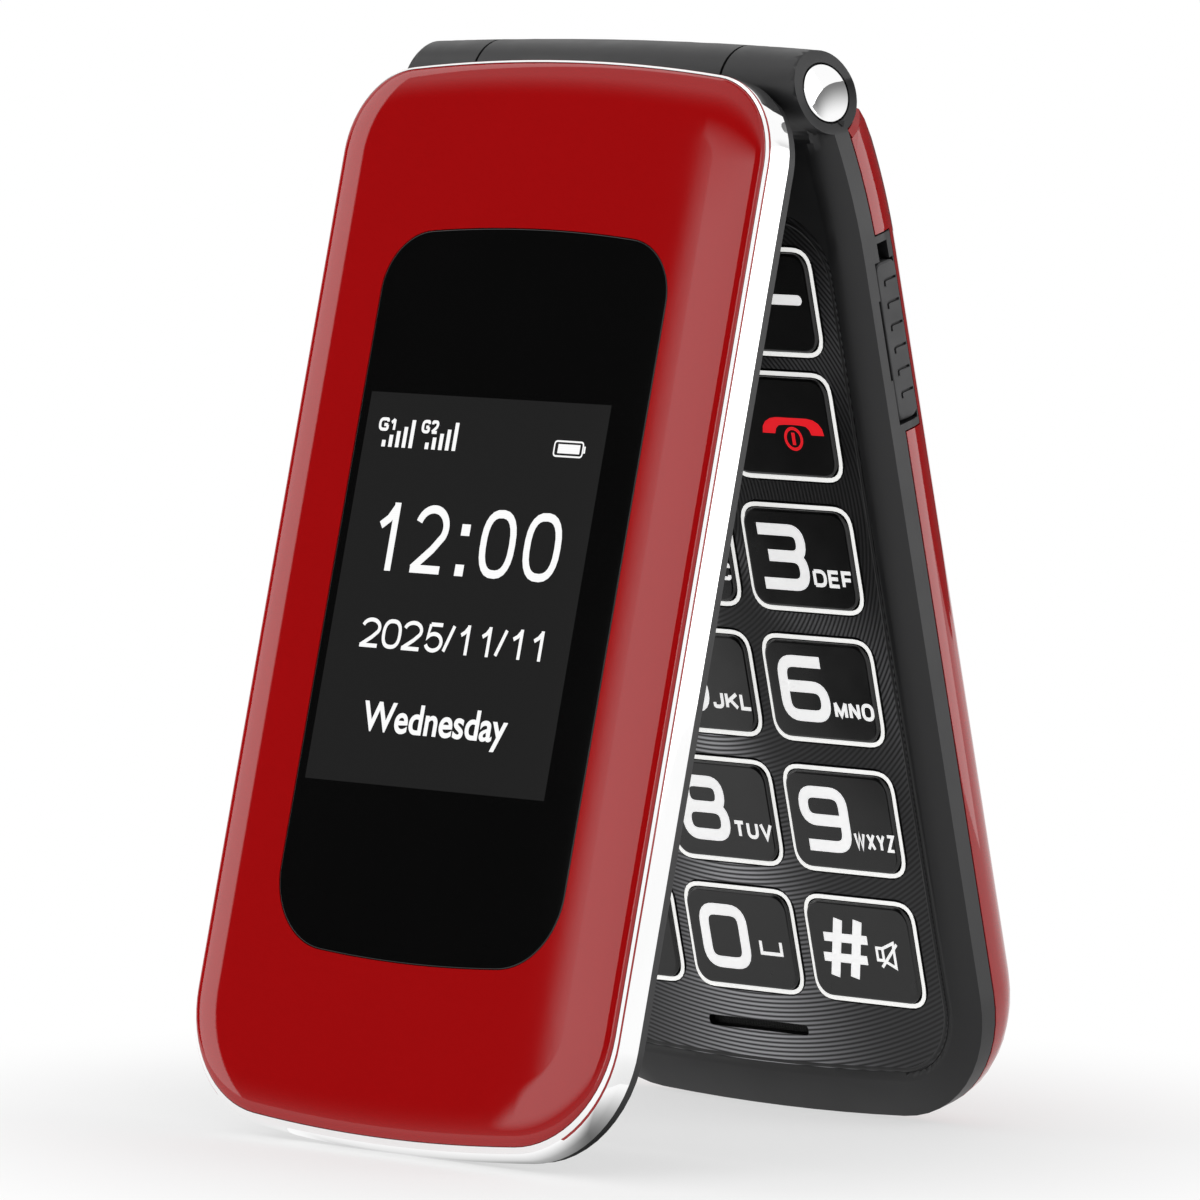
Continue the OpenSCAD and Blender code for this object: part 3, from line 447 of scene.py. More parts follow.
# merged copy of a CAD solid with smooth shading, which stands for it
def smoothCopy(node, bevel=0.0):
    piece = addObject(node + "_skin", frame["nodes"][node].data.copy())
    pick(piece)
    bpy.ops.object.mode_set(mode="EDIT")
    bpy.ops.mesh.select_all(action="SELECT")
    bpy.ops.mesh.remove_doubles(threshold=2e-6)
    bpy.ops.mesh.dissolve_limited(angle_limit=math.radians(0.2))
    bpy.ops.object.mode_set(mode="OBJECT")
    if bevel > 0:
        applyModifier(piece, "BEVEL", width=bevel * mm, segments=3, limit_method="ANGLE",
                      angle_limit=math.radians(40))
    finishPiece(piece, None, bodyOf[node], slotOf[node], (node,))


# lid: red cover with its crown, plated band, red line in the band, black window
lidShape = {
    "halfWidth": 27.5,
    "rise": 0.8,
    "length": 103.27,
    "topRadius": 8.5,
    "endRadius": 11.5,
    "bow": 190.0,
    "endDraw": 0.8,
    "seat": 7.7,
    "face": 8.9,
    "coverIn": 0.35,
    "crownIn": 6.0,
    "crownDrop": 0.6,
    "crownSteps": 12,
    "bandLow": 5.3,
    "bandTop": 8.3,
    "bandRoll": 1.8,
    "rollSteps": 10,
    "lipFrom": 8.1,
    "lip": 0.3,
    "bandWidth": 1.3,
    "lineLow": 7.86,
    "lineHigh": 8.08,
    "lineSteps": 3,
    "lineProud": 0.012,
    "lineDeep": 0.05,
    "lineSink": 3.5,
    "lineDrop": 0.04,
}
windowShape = {
    "halfWidth": 18.5,
    "top": 15.7,
    "end": 85.8,
    "topRadius": 6.0,
    "endRadius": 7.5,
    "bow": 150.0,
    "thick": 0.7,
    "gap": 0.05,
    "edge": 0.12,
    "edgeSteps": 4,
}


def lidOutline(inset, draw=0.0):
    shape = lidShape
    return bowedOutline(shape["halfWidth"] - inset, inset - shape["rise"], shape["length"] - inset - draw,
                        shape["topRadius"] - inset, shape["endRadius"] - inset, shape["bow"])


def windowOutline(inset):
    shape = windowShape
    return bowedOutline(shape["halfWidth"] - inset, shape["top"] + inset, shape["end"] - inset,
                        shape["topRadius"] - inset, shape["endRadius"] - inset, shape["bow"])


def makeLidCover(shape):
    loops = [atHeight(lidOutline(shape["coverIn"], shape["endDraw"]), shape["seat"] + windowShape["gap"])]
    for i in range(shape["crownSteps"] + 1):
        t = i / shape["crownSteps"]
        loops.append(atHeight(lidOutline(shape["coverIn"] + shape["crownIn"] * t * t, shape["endDraw"]),
                              shape["face"] - shape["crownDrop"] * (1 - t) ** 2))
    cover = loft("lidCover", loops)
    recess = windowOutline(-windowShape["gap"])
    cutAway(cover, loft("windowRecess", [
        atHeight(recess, shape["face"] - windowShape["thick"] - windowShape["gap"]),
        atHeight(recess, shape["face"] + 1)]))
    finishPiece(cover, lidFrame, "lid", "red_gloss", ("lid_cover",))


# how far the band's rounded edge has drawn in at a height: share of the roll
def bandPart(z):
    rise = 1 - (lidShape["bandTop"] - z) / lidShape["bandRoll"]
    return 1 - math.sqrt(max(0.0, 1 - max(0.0, rise) ** 2))


def bandLoop(z, inset=0.0):
    part = bandPart(z)
    return atHeight(lidOutline(inset + lidShape["lip"] / 2 * part, lidShape["endDraw"] * part), z)


# the band's rounded edge ends in a sloped lip
def makeLidTrim(shape):
    rollFrom, steps = shape["bandTop"] - shape["bandRoll"], shape["rollSteps"]
    roll = [shape["lipFrom"] - (shape["lipFrom"] - rollFrom) * (1 - math.sin(math.pi / 2 * i / steps))
            for i in range(steps + 1)]
    loops = [bandLoop(shape["bandLow"])] + [bandLoop(z) for z in roll]
    lip = lidOutline(shape["lip"], shape["endDraw"])
    inner = lidOutline(shape["bandWidth"])
    loops += [atHeight(lip, shape["bandTop"]), atHeight(lip, shape["seat"]),
              atHeight(inner, shape["seat"]), atHeight(inner, shape["bandLow"])]
    finishPiece(loft("lidTrim", loops, ring=True), lidFrame, "lid", "bright_band", ("lid_trim",))


# the line stands a hair proud of the band, and sinks into it at the foot
def makeLidLine(shape):
    low, high, steps = shape["lineLow"], shape["lineHigh"], shape["lineSteps"]
    loops = [bandLoop(low + (high - low) * i / steps, -shape["lineProud"]) for i in range(steps + 1)]
    loops += [bandLoop(z, shape["lineDeep"]) for z in (high, low)]
    sinkFrom, drop = shape["length"] - shape["lineSink"], shape["lineDrop"]
    loops = [[(x, y + drop * min(1, max(0, -y - sinkFrom)), z) for x, y, z in loop] for loop in loops]
    finishPiece(loft("lidLine", loops, ring=True), lidFrame, "lid", "red_gloss")


def makeWindow(shape, face):
    edge = shape["edge"]
    loops = [atHeight(windowOutline(0), face - shape["thick"])]
    for i in range(shape["edgeSteps"] + 1):
        a = math.pi / 2 * i / shape["edgeSteps"]
        loops.append(atHeight(windowOutline(edge * (1 - math.cos(a))), face - edge * (1 - math.sin(a))))
    finishPiece(loft("outerWindow", loops), lidFrame, "lid", "black_window", ("outer_window",))


makeLidCover(lidShape)
makeLidTrim(lidShape)
makeLidLine(lidShape)
makeWindow(windowShape, lidShape["face"])
smoothCopy("lid_frame")
print("lid modelled")


# flat marks: strokes of even width, plates and words, each a thin closed solid
mergeBelow = 1e-4
cornerSteps = 6
layerStep = 0.002  # strokes that cross lie this far above each other
capitalGap = 1.6  # between capitals, in strokes


def roundPath(points, radius, closed):
    path = []
    last = len(points) - 1
    for i, point in enumerate(points):
        here = Vector(point)
        if radius <= 0 or (not closed and i in (0, last)):
            path.append(here)
            continue
        before = Vector(points[i - 1]) - here
        after = Vector(points[(i + 1) % len(points)]) - here
        reach = min(radius, before.length / 2, after.length / 2)
        start = here + before.normalized() * reach
        end = here + after.normalized() * reach
        for k in range(cornerSteps + 1):
            t = k / cornerSteps
            path.append(start * (1 - t) ** 2 + here * (2 * t * (1 - t)) + end * t * t)
    # corners that share a short side meet in one point
    ends = path[-1:] if closed else [path[0] + Vector((1, 0))]
    return [here for before, here in zip(ends + path, path) if (here - before).length > mergeBelow]


def strokeMark(name, points, width, low, top, radius=0.0, closed=False):
    path = roundPath(points, radius, closed)
    count = len(path)
    verts = []
    for i, here in enumerate(path):
        before = (here - path[i - 1]).normalized() if closed or i > 0 else None
        after = (path[(i + 1) % count] - here).normalized() if closed or i < count - 1 else None
        along = ((before or after) + (after or before)).normalized()
        side = Vector((-along.y, along.x))
        reach = width / 2 / max(0.5, along.dot(after or before))
        verts += [(here + side * reach).to_3d(), (here - side * reach).to_3d()]
    faces = [(2 * i, 2 * i + 1, (2 * i + 3) % (2 * count), (2 * i + 2) % (2 * count))
             for i in range(count if closed else count - 1)]
    return thicken(name, verts, faces, low, top)


# out of edit mode, with doubles merged and faces pointing outwards
def closeUp():
    bpy.ops.mesh.select_all(action="SELECT")
    bpy.ops.mesh.remove_doubles(threshold=mergeBelow)
    bpy.ops.mesh.normals_make_consistent(inside=False)
    bpy.ops.object.mode_set(mode="OBJECT")


def thicken(name, verts, faces, low, top):
    mesh = bpy.data.meshes.new(name)
    mesh.from_pydata([(v[0], v[1], low) for v in verts], [], faces)
    mark = addObject(name, mesh)
    pick(mark)
    bpy.ops.object.mode_set(mode="EDIT")
    bpy.ops.mesh.select_mode(type="FACE")
    bpy.ops.mesh.select_all(action="SELECT")
    bpy.ops.mesh.extrude_region_move(TRANSFORM_OT_translate={"value": (0, 0, top - low)})
    closeUp()
    return mark


def plateMark(name, points, low, top):
    return thicken(name, points, [tuple(range(len(points)))], low, top)


def rectangle(left, right, bottom, top):
    return [(left, bottom), (right, bottom), (right, top), (left, top)]


# words are made a mesh, then fitted to a box: left, right, bottom, top
def wordMark(name, words, box, low, top, weight=0.0):
    bpy.ops.object.select_all(action="DESELECT")
    bpy.ops.object.text_add()
    mark = bpy.context.object
    mark.name = name
    mark.data.body = words
    mark.data.extrude = 0.5
    mark.data.offset = weight
    bpy.ops.object.convert(target="MESH")
    mark = bpy.context.object
    xs = [v.co.x for v in mark.data.vertices]
    ys = [v.co.y for v in mark.data.vertices]
    sx = (box[1] - box[0]) / (max(xs) - min(xs))
    sy = (box[3] - box[2]) / (max(ys) - min(ys))
    for vertex in mark.data.vertices:
        x, y, z = vertex.co
        vertex.co = (box[0] + (x - min(xs)) * sx, box[2] + (y - min(ys)) * sy, low if z < 0 else top)
    bpy.ops.object.mode_set(mode="EDIT")
    closeUp()
    return mark


def joinMarks(name, marks):
    pick(marks[0])
    for mark in marks:
        mark.select_set(True)
    if len(marks) > 1:
        bpy.ops.object.join()
    marks[0].name = name
    return marks[0]


# plain capitals as middle lines in a box of 1 by 1: width beside the others, corner radius, lines
bowl = [(0, 1), (1, 1), (1, 0.45), (0, 0.45)]
stem = [(0, 0), (0, 1)]
oval = [(0, 0), (1, 0), (1, 1), (0, 1), (0, 0)]
capitals = {
    "A": (1.0, 0.0, [[(0, 0), (0.5, 1), (1, 0)], [(0.2, 0.3), (0.8, 0.3)]]),
    "B": (0.9, 0.25, [stem, [(0, 1), (0.9, 1), (0.9, 0.54), (0, 0.54)], [(0, 0.54), (1, 0.54), (1, 0), (0, 0)]]),
    "C": (0.95, 0.45, [[(1, 0.76), (1, 1), (0, 1), (0, 0), (1, 0), (1, 0.24)]]),
    "D": (0.95, 0.5, [stem, [(0, 1), (1, 1), (1, 0), (0, 0)]]),
    "E": (0.8, 0.0, [[(1, 1), (0, 1), (0, 0), (1, 0)], [(0, 0.52), (0.92, 0.52)]]),
    "F": (0.75, 0.0, [[(1, 1), (0, 1), (0, 0)], [(0, 0.5), (0.9, 0.5)]]),
    "G": (1.0, 0.45, [[(1, 0.76), (1, 1), (0, 1), (0, 0), (1, 0), (1, 0.45)], [(1, 0.46), (0.55, 0.46)]]),
    "H": (0.9, 0.0, [stem, [(1, 0), (1, 1)], [(0, 0.52), (1, 0.52)]]),
    "I": (0.15, 0.0, [[(0.5, 0), (0.5, 1)]]),
    "J": (0.7, 0.4, [[(1, 1), (1, 0), (0, 0), (0, 0.3)]]),
    "K": (0.9, 0.0, [stem, [(1, 1), (0, 0.36)], [(0.33, 0.58), (1, 0)]]),
    "L": (0.75, 0.0, [[(0, 1), (0, 0), (1, 0)]]),
    "M": (1.2, 0.0, [stem, [(0, 1), (0.5, 0.12), (1, 1)], [(1, 0), (1, 1)]]),
    "N": (0.95, 0.0, [stem, [(0, 1), (1, 0)], [(1, 0), (1, 1)]]),
    "O": (1.1, 0.5, [oval]),
    "P": (0.85, 0.28, [stem, bowl]),
    "Q": (1.1, 0.5, [oval, [(0.6, 0.3), (1.05, -0.08)]]),
    "R": (0.9, 0.28, [stem, bowl, [(0.45, 0.45), (1, 0)]]),
    "S": (0.85, 0.3, [[(1, 0.78), (1, 1), (0, 1), (0, 0.52), (1, 0.52), (1, 0), (0, 0), (0, 0.22)]]),
    "T": (0.9, 0.0, [[(0, 1), (1, 1)], [(0.5, 1), (0.5, 0)]]),
    "U": (0.9, 0.45, [[(0, 1), (0, 0), (1, 0), (1, 1)]]),
    "V": (1.0, 0.0, [[(0, 1), (0.5, 0), (1, 1)]]),
    "W": (1.35, 0.0, [[(0, 1), (0.26, 0), (0.5, 0.95), (0.74, 0), (1, 1)]]),
    "X": (0.95, 0.0, [[(0, 0), (1, 1)], [(0, 1), (1, 0)]]),
    "Y": (0.95, 0.0, [[(0, 1), (0.5, 0.46), (1, 1)], [(0.5, 0.46), (0.5, 0)]]),
    "Z": (0.85, 0.0, [[(0, 1), (1, 1), (0, 0), (1, 0)]]),
    "1": (0.4, 0.0, [[(1, 0), (1, 1)], [(1, 1), (0, 0.7)]]),
    "2": (0.8, 0.35, [[(0, 0.76), (0, 1), (1, 1), (1, 0.55), (0, 0.02)], [(0, 0), (1, 0)]]),
}


# capitals side by side in a box: left, right, bottom, top
def capitalMarks(words, box, stroke, low, top):
    gap = capitalGap * stroke
    inner = box[1] - box[0] - stroke - gap * (len(words) - 1)
    unit = inner / sum(capitals[letter][0] for letter in words)
    left, foot, height = box[0] + stroke / 2, box[2] + stroke / 2, box[3] - box[2] - stroke
    marks = []
    for letter in words:
        wide, corner, lines = capitals[letter]
        wide *= unit
        for i, line in enumerate(lines):
            closed = line[0] == line[-1]
            points = [(left + x * wide, foot + y * height) for x, y in (line[:-1] if closed else line)]
            marks.append(strokeMark("capital" + letter, points, stroke, low, top + layerStep * i, corner * height,
                                    closed))
        left += wide + gap
    return marks


# outer screen: dark lit ground with clock, date, day, signal bars and battery; boxes are left, right, bottom, top
screen = {
    "box": (-17.35, 13.85, -69.35, -32.0),
    "ground": (8.6, 8.904),
    "light": (8.88, 8.912),
    "day": ("Wednesday", (-11.17, 7.67, -65.27, -61.5)),
    "dayWeight": 0.018,
    # each signal: its label, where that begins and where its bars begin
    "signals": (("G1", -15.67, -14.9), ("G2", -10.0, -9.2)),
    "labelWidth": 2.2,
    "labelHeight": (-35.73, -34.43),
    "labelStroke": 0.3,
    "barTops": (36.6, 36.07, 35.67, 35.23, 34.53),
    "barFoot": 37.23,
    "barPitch": 0.89,
    "barWidth": 0.47,
    "batteryCase": (7.52, 11.18, -37.08, -35.66),
    "batteryStroke": 0.16,
    "batteryRound": 0.35,
    "batteryFill": (8.0, 10.8, -36.8, -35.93),
    "batteryTip": (11.3, 11.5, -36.7, -36.03),
}
# figures of the clock and the date, each with the left and right of its box
clockLine = {
    "top": 42.5,
    "foot": 49.05,
    "stroke": 0.78,
    "colonRise": 0.6,
    "figures": (("1", -13.5, -10.93), ("2", -8.6, -4.17), (":", -2.53, -1.43), ("0", 0.17, 4.67), ("0", 5.83, 10.5)),
}
dateLine = {
    "top": 53.6,
    "foot": 56.45,
    "stroke": 0.38,
    "figures": (("2", -13.33, -10.77), ("0", -10.5, -8.0), ("2", -7.83, -5.27), ("5", -4.9, -2.5),
                ("/", -2.43, -1.07), ("1", -0.43, 0.83), ("1", 2.33, 3.6), ("/", 4.33, 5.73), ("1", 6.33, 7.67),
                ("1", 9.0, 10.33)),
}


# middle lines of plain upright figures in a box of 1 by 1
def figurePaths(figure):
    def arc(cx, cy, rx, ry, start, end):
        turns = [math.radians(start + (end - start) * i / 24) for i in range(25)]
        return [(cx + rx * math.cos(a), cy + ry * math.sin(a)) for a in turns]

    # pushes a round outline out towards the corners of its box
    def squarer(t):
        return 0.5 + math.copysign(abs(t - 0.5) ** 0.8 * 0.5 ** 0.2, t - 0.5)
    return {
        "0": [[(squarer(x), squarer(y)) for x, y in arc(0.5, 0.5, 0.5, 0.5, 0, 345)]],
        "1": [[(1, 0), (1, 1)], [(1, 1), (0.55, 0.8), (0, 0.68)]],
        "2": [arc(0.5, 0.7, 0.5, 0.3, 165, -30) + [(0.62, 0.33), (0, 0)], [(-0.05, 0), (1, 0)]],
        "5": [[(0.95, 1), (0.2, 1)], [(0.2, 1), (0.09, 0.5)] + arc(0.5, 0.32, 0.5, 0.32, 140, -160)],
        "/": [[(0, 0), (1, 1)]],
    }[figure]


def figureMarks(settings, low, top):
    half = settings["stroke"] / 2
    foot, height = -settings["foot"] + half, settings["foot"] - settings["top"] - 2 * half
    marks = []
    for figure, left, right in settings["figures"]:
        width = right - left
        if figure == ":":
            for y in (foot - half, foot + height * settings["colonRise"]):
                marks.append(plateMark("colonDot", rectangle(left, right, y, y + width), low, top))
            continue
        for i, path in enumerate(figurePaths(figure)):
            points = [(left + half + x * (width - 2 * half), foot + y * height) for x, y in path]
            if figure == "1" and i == 0:
                points = [(points[0][0], foot - half), (points[1][0], foot + height + half)]
            marks.append(strokeMark("figure", points, settings["stroke"], low, top + layerStep * i,
                                    closed=figure == "0"))
    return marks


def makeScreen(settings):
    ground = plateMark("screenGround", rectangle(*settings["box"]), *settings["ground"])
    finishPiece(ground, lidFrame, "lid", "display")
    low, high = settings["light"]
    marks = figureMarks(clockLine, low, high) + figureMarks(dateLine, low, high)
    marks.append(wordMark("day", *settings["day"], low, high, settings["dayWeight"]))
    for label, x, bar in settings["signals"]:
        box = (x, x + settings["labelWidth"], *settings["labelHeight"])
        marks += capitalMarks(label, box, settings["labelStroke"], low, high)
        for i, rise in enumerate(settings["barTops"]):
            left = bar + i * settings["barPitch"]
            corners = rectangle(left, left + settings["barWidth"], -settings["barFoot"], -rise)
            marks.append(plateMark("signalBar", corners, low, high - layerStep))
    marks.append(strokeMark("batteryCase", rectangle(*settings["batteryCase"]), settings["batteryStroke"], low, high,
                            settings["batteryRound"], True))
    for part in ("batteryFill", "batteryTip"):
        marks.append(plateMark(part, rectangle(*settings[part]), low, high))
    finishPiece(joinMarks("screenPicture", marks), lidFrame, "lid", "display", material=litPixels)


makeScreen(screen)
print("screen drawn")


# keys: one cap modelled, a copy for every key, each with its printed legend
keypad = {
    "columnPitch": 15.66,
    "softRow": 19.75,
    "callRow": 31.95,
    "rowPitch": 13.08,
    "navRow": 25.85,
    "capSize": (13.2, 9.7, 1.75),
    "navSize": (13.2, 21.9, 4.65),
    "navHole": (7.2, 9.2, 2.4),
    "okSize": (6.6, 8.6, 2.1),
    "low": 1.6,
    "top": 2.9,
    "edge": 0.3,
}
# what is printed on the caps, measured from the middle of each; a sign is its lines, each with a width
legend = {
    "low": 2.88,
    "top": 2.912,
    "digitMiddle": (-2.05, 0.14),
    "digitHalf": (2.5, 2.7),
    "stroke": 1.17,
    "round": 1.5,
    "letters": (1.45, 6.45, -2.6, -0.85),
    "letterStroke": 0.37,
    "fourthLetter": 0.1,
    "thinStroke": 0.31,
    "word": ("OK", (-1.9, 1.9, -1.1, 1.1), 0.4),
    "star": {"reach": 2.6, "width": 0.95},
    "hash": (([(-1.85, -2.85), (-0.45, 3.0)], 1.1), ([(0.65, -2.85), (2.05, 3.0)], 1.1),
             ([(-2.6, 1.1), (2.95, 1.1)], 0.9), ([(-2.95, -0.95), (2.6, -0.95)], 0.9)),
    # small loudspeaker struck through, for silent mode
    "mute": (([(1.95, -0.6), (1.95, 0.6), (2.7, 0.6), (2.7, -0.6), (1.95, -0.6)], 0.3),
             ([(2.7, 0.6), (4.15, 1.25), (4.15, -1.25), (2.7, -0.6)], 0.3), ([(2.4, -1.3), (4.6, 1.15)], 0.3)),
    "space": (([(2.5, 0.05), (2.5, -1.2), (5.1, -1.2), (5.1, 0.05)], 0.36),),
    # right half of a receiver lying on its cradle: a flat arched grip with an ear piece
    "handset": ((0.0, 0.8), (1.9, 0.8), (2.7, 0.68), (3.35, 0.35), (3.75, -0.15), (3.88, -0.8), (2.3, -0.8),
                (2.1, -0.3), (1.7, 0.02), (1.0, 0.1), (0.0, 0.12)),
    "power": {"at": (1.75, -1.1), "radius": 1.02, "ring": 0.3, "halfBar": 0.6, "bar": 0.4},
    "dash": {"middle": 0.35, "radius": 0.5},
    "arrows": {"reach": (8.2, 5.1), "halfWidth": 1.0, "halfHeight": 0.6},
}


def digitPaths(halfX, halfY):
    a, b = halfX, halfY
    return {
        "1": [([(-1.5, b - 1.3), (0.1, b), (0.1, -b)], False)],
        "2": [([(-a, b), (a, b), (a, 0), (-a, 0), (-a, -b), (a, -b)], False)],
        "3": [([(-a - 0.3, b), (a, b), (a, 0.1), (0.7 - a, 0.1)], False),
              ([(0.7 - a, 0.1), (a, 0.1), (a, -b), (-a - 0.3, -b)], False)],
        "4": [([(-a, b), (-a, -0.8), (a, -0.8)], False), ([(a - 1.1, b), (a - 1.1, -b)], False)],
        "5": [([(a, b), (-a, b), (-a, 0.2), (a, 0.2), (a, -b), (-a, -b)], False)],
        "6": [([(a, b), (-a, b), (-a, -b), (a, -b), (a, 0.2), (0.57 - a, 0.2)], False)],
        "7": [([(-a, b), (a, b), (0.2, -b)], False)],
        "8": [(rectangle(0.25 - a, a - 0.25, 0.1, b), True), (rectangle(-a, a, 0.1, -b), True)],
        "9": [([(-a, -b), (a, -b), (a, b), (-a, b), (-a, -0.1), (a - 0.57, -0.1)], False)],
        "0": [(rectangle(-a, a, -b, b), True)],
    }


def moved(points, x, y):
    return [(px + x, py + y) for px, py in points]


def legendStroke(points, width, layer=0, radius=0.0, closed=False):
    return strokeMark("legend", points, width, legend["low"], legend["top"] + layerStep * layer, radius, closed)


def legendPlate(points):
    return plateMark("legend", points, legend["low"], legend["top"])


def digitMarks(digit):
    return [legendStroke(moved(points, *legend["digitMiddle"]), legend["stroke"], i, legend["round"], closed)
            for i, (points, closed) in enumerate(digitPaths(*legend["digitHalf"])[digit])]


def letterMarks(letters):
    left, right, foot, head = legend["letters"]
    stroke = legend["letterStroke"]
    if len(letters) > 3:
        left -= legend["fourthLetter"]
        stroke = legend["thinStroke"]
    return capitalMarks(letters, (left, right, foot, head), stroke, legend["low"], legend["top"])


# a line that ends where it begins is closed
def signMarks(sign, x=0.0, y=0.0):
    marks = []
    for i, (line, width) in enumerate(legend[sign]):
        closed = line[0] == line[-1]
        marks.append(legendStroke(moved(line[:-1] if closed else line, x, y), width, i, closed=closed))
    return marks


def starMarks(settings):
    turns = [math.pi / 2 + math.pi / 3 * i for i in range(3)]
    lines = [arcPoints(*legend["digitMiddle"], settings["reach"], turn, turn + math.pi, 1) for turn in turns]
    return [legendStroke(line, settings["width"], i) for i, line in enumerate(lines)]


def handsetMarks(x, y):
    right = list(legend["handset"])
    return [legendPlate(moved(right + [(-px, py) for px, py in reversed(right[1:-1])], x, y))]


def powerMarks(settings):
    x, y = settings["at"]
    ring = arcPoints(x, y, settings["radius"], 0, 2 * math.pi, 32)[:-1]
    bar = [(x, y + settings["halfBar"]), (x, y - settings["halfBar"])]
    return [legendStroke(ring, settings["ring"], 2, closed=True), legendStroke(bar, settings["bar"], 2)]


def dashMarks(left, right):
    y, radius = legend["dash"]["middle"], legend["dash"]["radius"]
    return [legendPlate(arcPoints(right - radius, y, radius, -math.pi / 2, math.pi / 2, 10)
                        + arcPoints(left + radius, y, radius, math.pi / 2, 3 * math.pi / 2, 10))]


def arrowMarks(settings):
    marks = []
    for turn in range(4):
        reach, wide, high = settings["reach"][turn % 2], settings["halfWidth"], settings["halfHeight"]
        spin = Matrix.Rotation(turn * math.pi / 2, 2)
        corners = ((-wide, reach - high), (wide, reach - high), (0, reach + high))
        marks.append(legendPlate([tuple(spin @ Vector(corner)) for corner in corners]))
    return marks


# each key: its column, its row, its marks and their ink
lettersOn = {"2": "ABC", "3": "DEF", "4": "GHI", "5": "JKL", "6": "MNO", "7": "PQRS", "8": "TUV", "9": "WXYZ"}
keyPlaces = {}
for i, digit in enumerate("123456789"):
    marks = digitMarks(digit) + (letterMarks(lettersOn[digit]) if digit in lettersOn else [])
    row = keypad["callRow"] + (i // 3 + 1) * keypad["rowPitch"]
    keyPlaces["key_" + digit] = (i % 3 - 1, row, marks, legendInk)
row = keypad["callRow"] + 4 * keypad["rowPitch"]
keyPlaces["key_star"] = (-1, row, starMarks(legend["star"]), legendInk)
keyPlaces["key_0"] = (0, row, digitMarks("0") + signMarks("space"), legendInk)
keyPlaces["key_hash"] = (1, row, signMarks("hash", *legend["digitMiddle"]) + signMarks("mute"), legendInk)
keyPlaces["soft_key_left"] = (-1, keypad["softRow"], dashMarks(-5.55, 2.2), legendInk)
keyPlaces["soft_key_right"] = (1, keypad["softRow"], dashMarks(-2.2, 5.55), legendInk)
keyPlaces["call_key"] = (-1, keypad["callRow"], handsetMarks(-1.8, 0.1), greenInk)
keyPlaces["end_key"] = (1, keypad["callRow"], handsetMarks(1.8, 0.15) + powerMarks(legend["power"]), redInk)


def finishLegend(body, marks, ink, place):
    lettering = joinMarks("legend_" + body, marks)
    lettering.data.transform(place)
    finishPiece(lettering, baseFrame, body, "white_mat", material=ink)


def makeKeys(settings):
    cap = roundedBlock("keyCap", *settings["capSize"], settings["low"], settings["top"], settings["edge"])
    for body, (column, row, marks, ink) in keyPlaces.items():
        place = Matrix.Translation((column * settings["columnPitch"], -row, 0))
        piece = addObject("cap_" + body, cap.data.copy())
        piece.data.transform(place)
        finishPiece(piece, baseFrame, body, "key_caps", (body,))
        finishLegend(body, marks, ink, place)
    bpy.data.objects.remove(cap)


def makeNavigation(settings):
    place = Matrix.Translation((0, -settings["navRow"], 0))
    low, top, edge = settings["low"], settings["top"], settings["edge"]
    ring = roundedBlock("cap_nav_ring", *settings["navSize"], low, top, edge)
    cutAway(ring, roundedBlock("navHole", *settings["navHole"], low - 1, top + 1, 0))
    pick(ring)
    bpy.ops.object.mode_set(mode="EDIT")
    softenTop(ring, top, edge, settings["navHole"][0])
    bpy.ops.object.mode_set(mode="OBJECT")
    ring.data.transform(place)
    finishPiece(ring, baseFrame, "nav_ring", "key_caps", ("nav_ring",))
    finishLegend("nav_ring", arrowMarks(legend["arrows"]), legendInk, place)
    okCap = roundedBlock("cap_ok_key", *settings["okSize"], low, top, edge)
    okCap.data.transform(place)
    finishPiece(okCap, baseFrame, "ok_key", "key_caps", ("ok_key",))
    finishLegend("ok_key", capitalMarks(*legend["word"], legend["low"], legend["top"]), legendInk, place)


# white rims of the mat, one round every key
keyRim = {"out": 0.29, "width": 0.42, "low": 2.47, "top": 2.515}


def makeRims(settings):
    sizes = [(column * keypad["columnPitch"], row, keypad["capSize"]) for column, row, _, _ in keyPlaces.values()]
    sizes.append((0, keypad["navRow"], keypad["navSize"]))
    out = settings["out"]
    marks = []
    for x, row, (width, height, radius) in sizes:
        a, b = width / 2 + out, height / 2 + out
        marks.append(strokeMark("rim", moved(rectangle(-a, a, -b, b), x, -row), settings["width"], settings["low"],
                                settings["top"], radius + out, True))
    finishPiece(joinMarks("keyRims", marks), baseFrame, "base", "white_mat", material=rimsPaintedGlow)


makeKeys(keypad)
makeNavigation(keypad)
makeRims(keyRim)
print("keys modelled:", len(keyPlaces) + 2)


# black dust cloth behind the slot in the panel
gauze = {"halfWidth": 7.6, "middle": 93.22, "halfHeight": 1.3, "low": 1.47, "top": 1.57}


def makeGauze(settings):
    x, y, high = settings["halfWidth"], -settings["middle"], settings["halfHeight"]
    cloth = plateMark("dustCloth", rectangle(-x, x, y - high, y + high), settings["low"], settings["top"])
    finishPiece(cloth, baseFrame, "base", "mesh", material=dustCloth)


makeGauze(gauze)


# rounded edge of the frame's opening round the panel: inset and height of its section
panelBead = {
    "outline": (24.65, 11.2, 96.62, 6.0, 7.0),
    "bow": 260.0,
    "section": ((-0.3, 2.3), (-0.26, 2.43), (-0.16, 2.48), (-0.04, 2.48), (0.06, 2.43), (0.1, 2.3)),
}


def makePanelBead(settings):
    halfWidth, top, end, topRadius, endRadius = settings["outline"]
    loops = [atHeight(bowedOutline(halfWidth - inset, top + inset, end - inset, topRadius - inset, endRadius - inset,
                                   settings["bow"]), z) for inset, z in settings["section"]]
    finishPiece(loft("panelBead", loops, ring=True), baseFrame, "base", "dark_casing")


makePanelBead(panelBead)


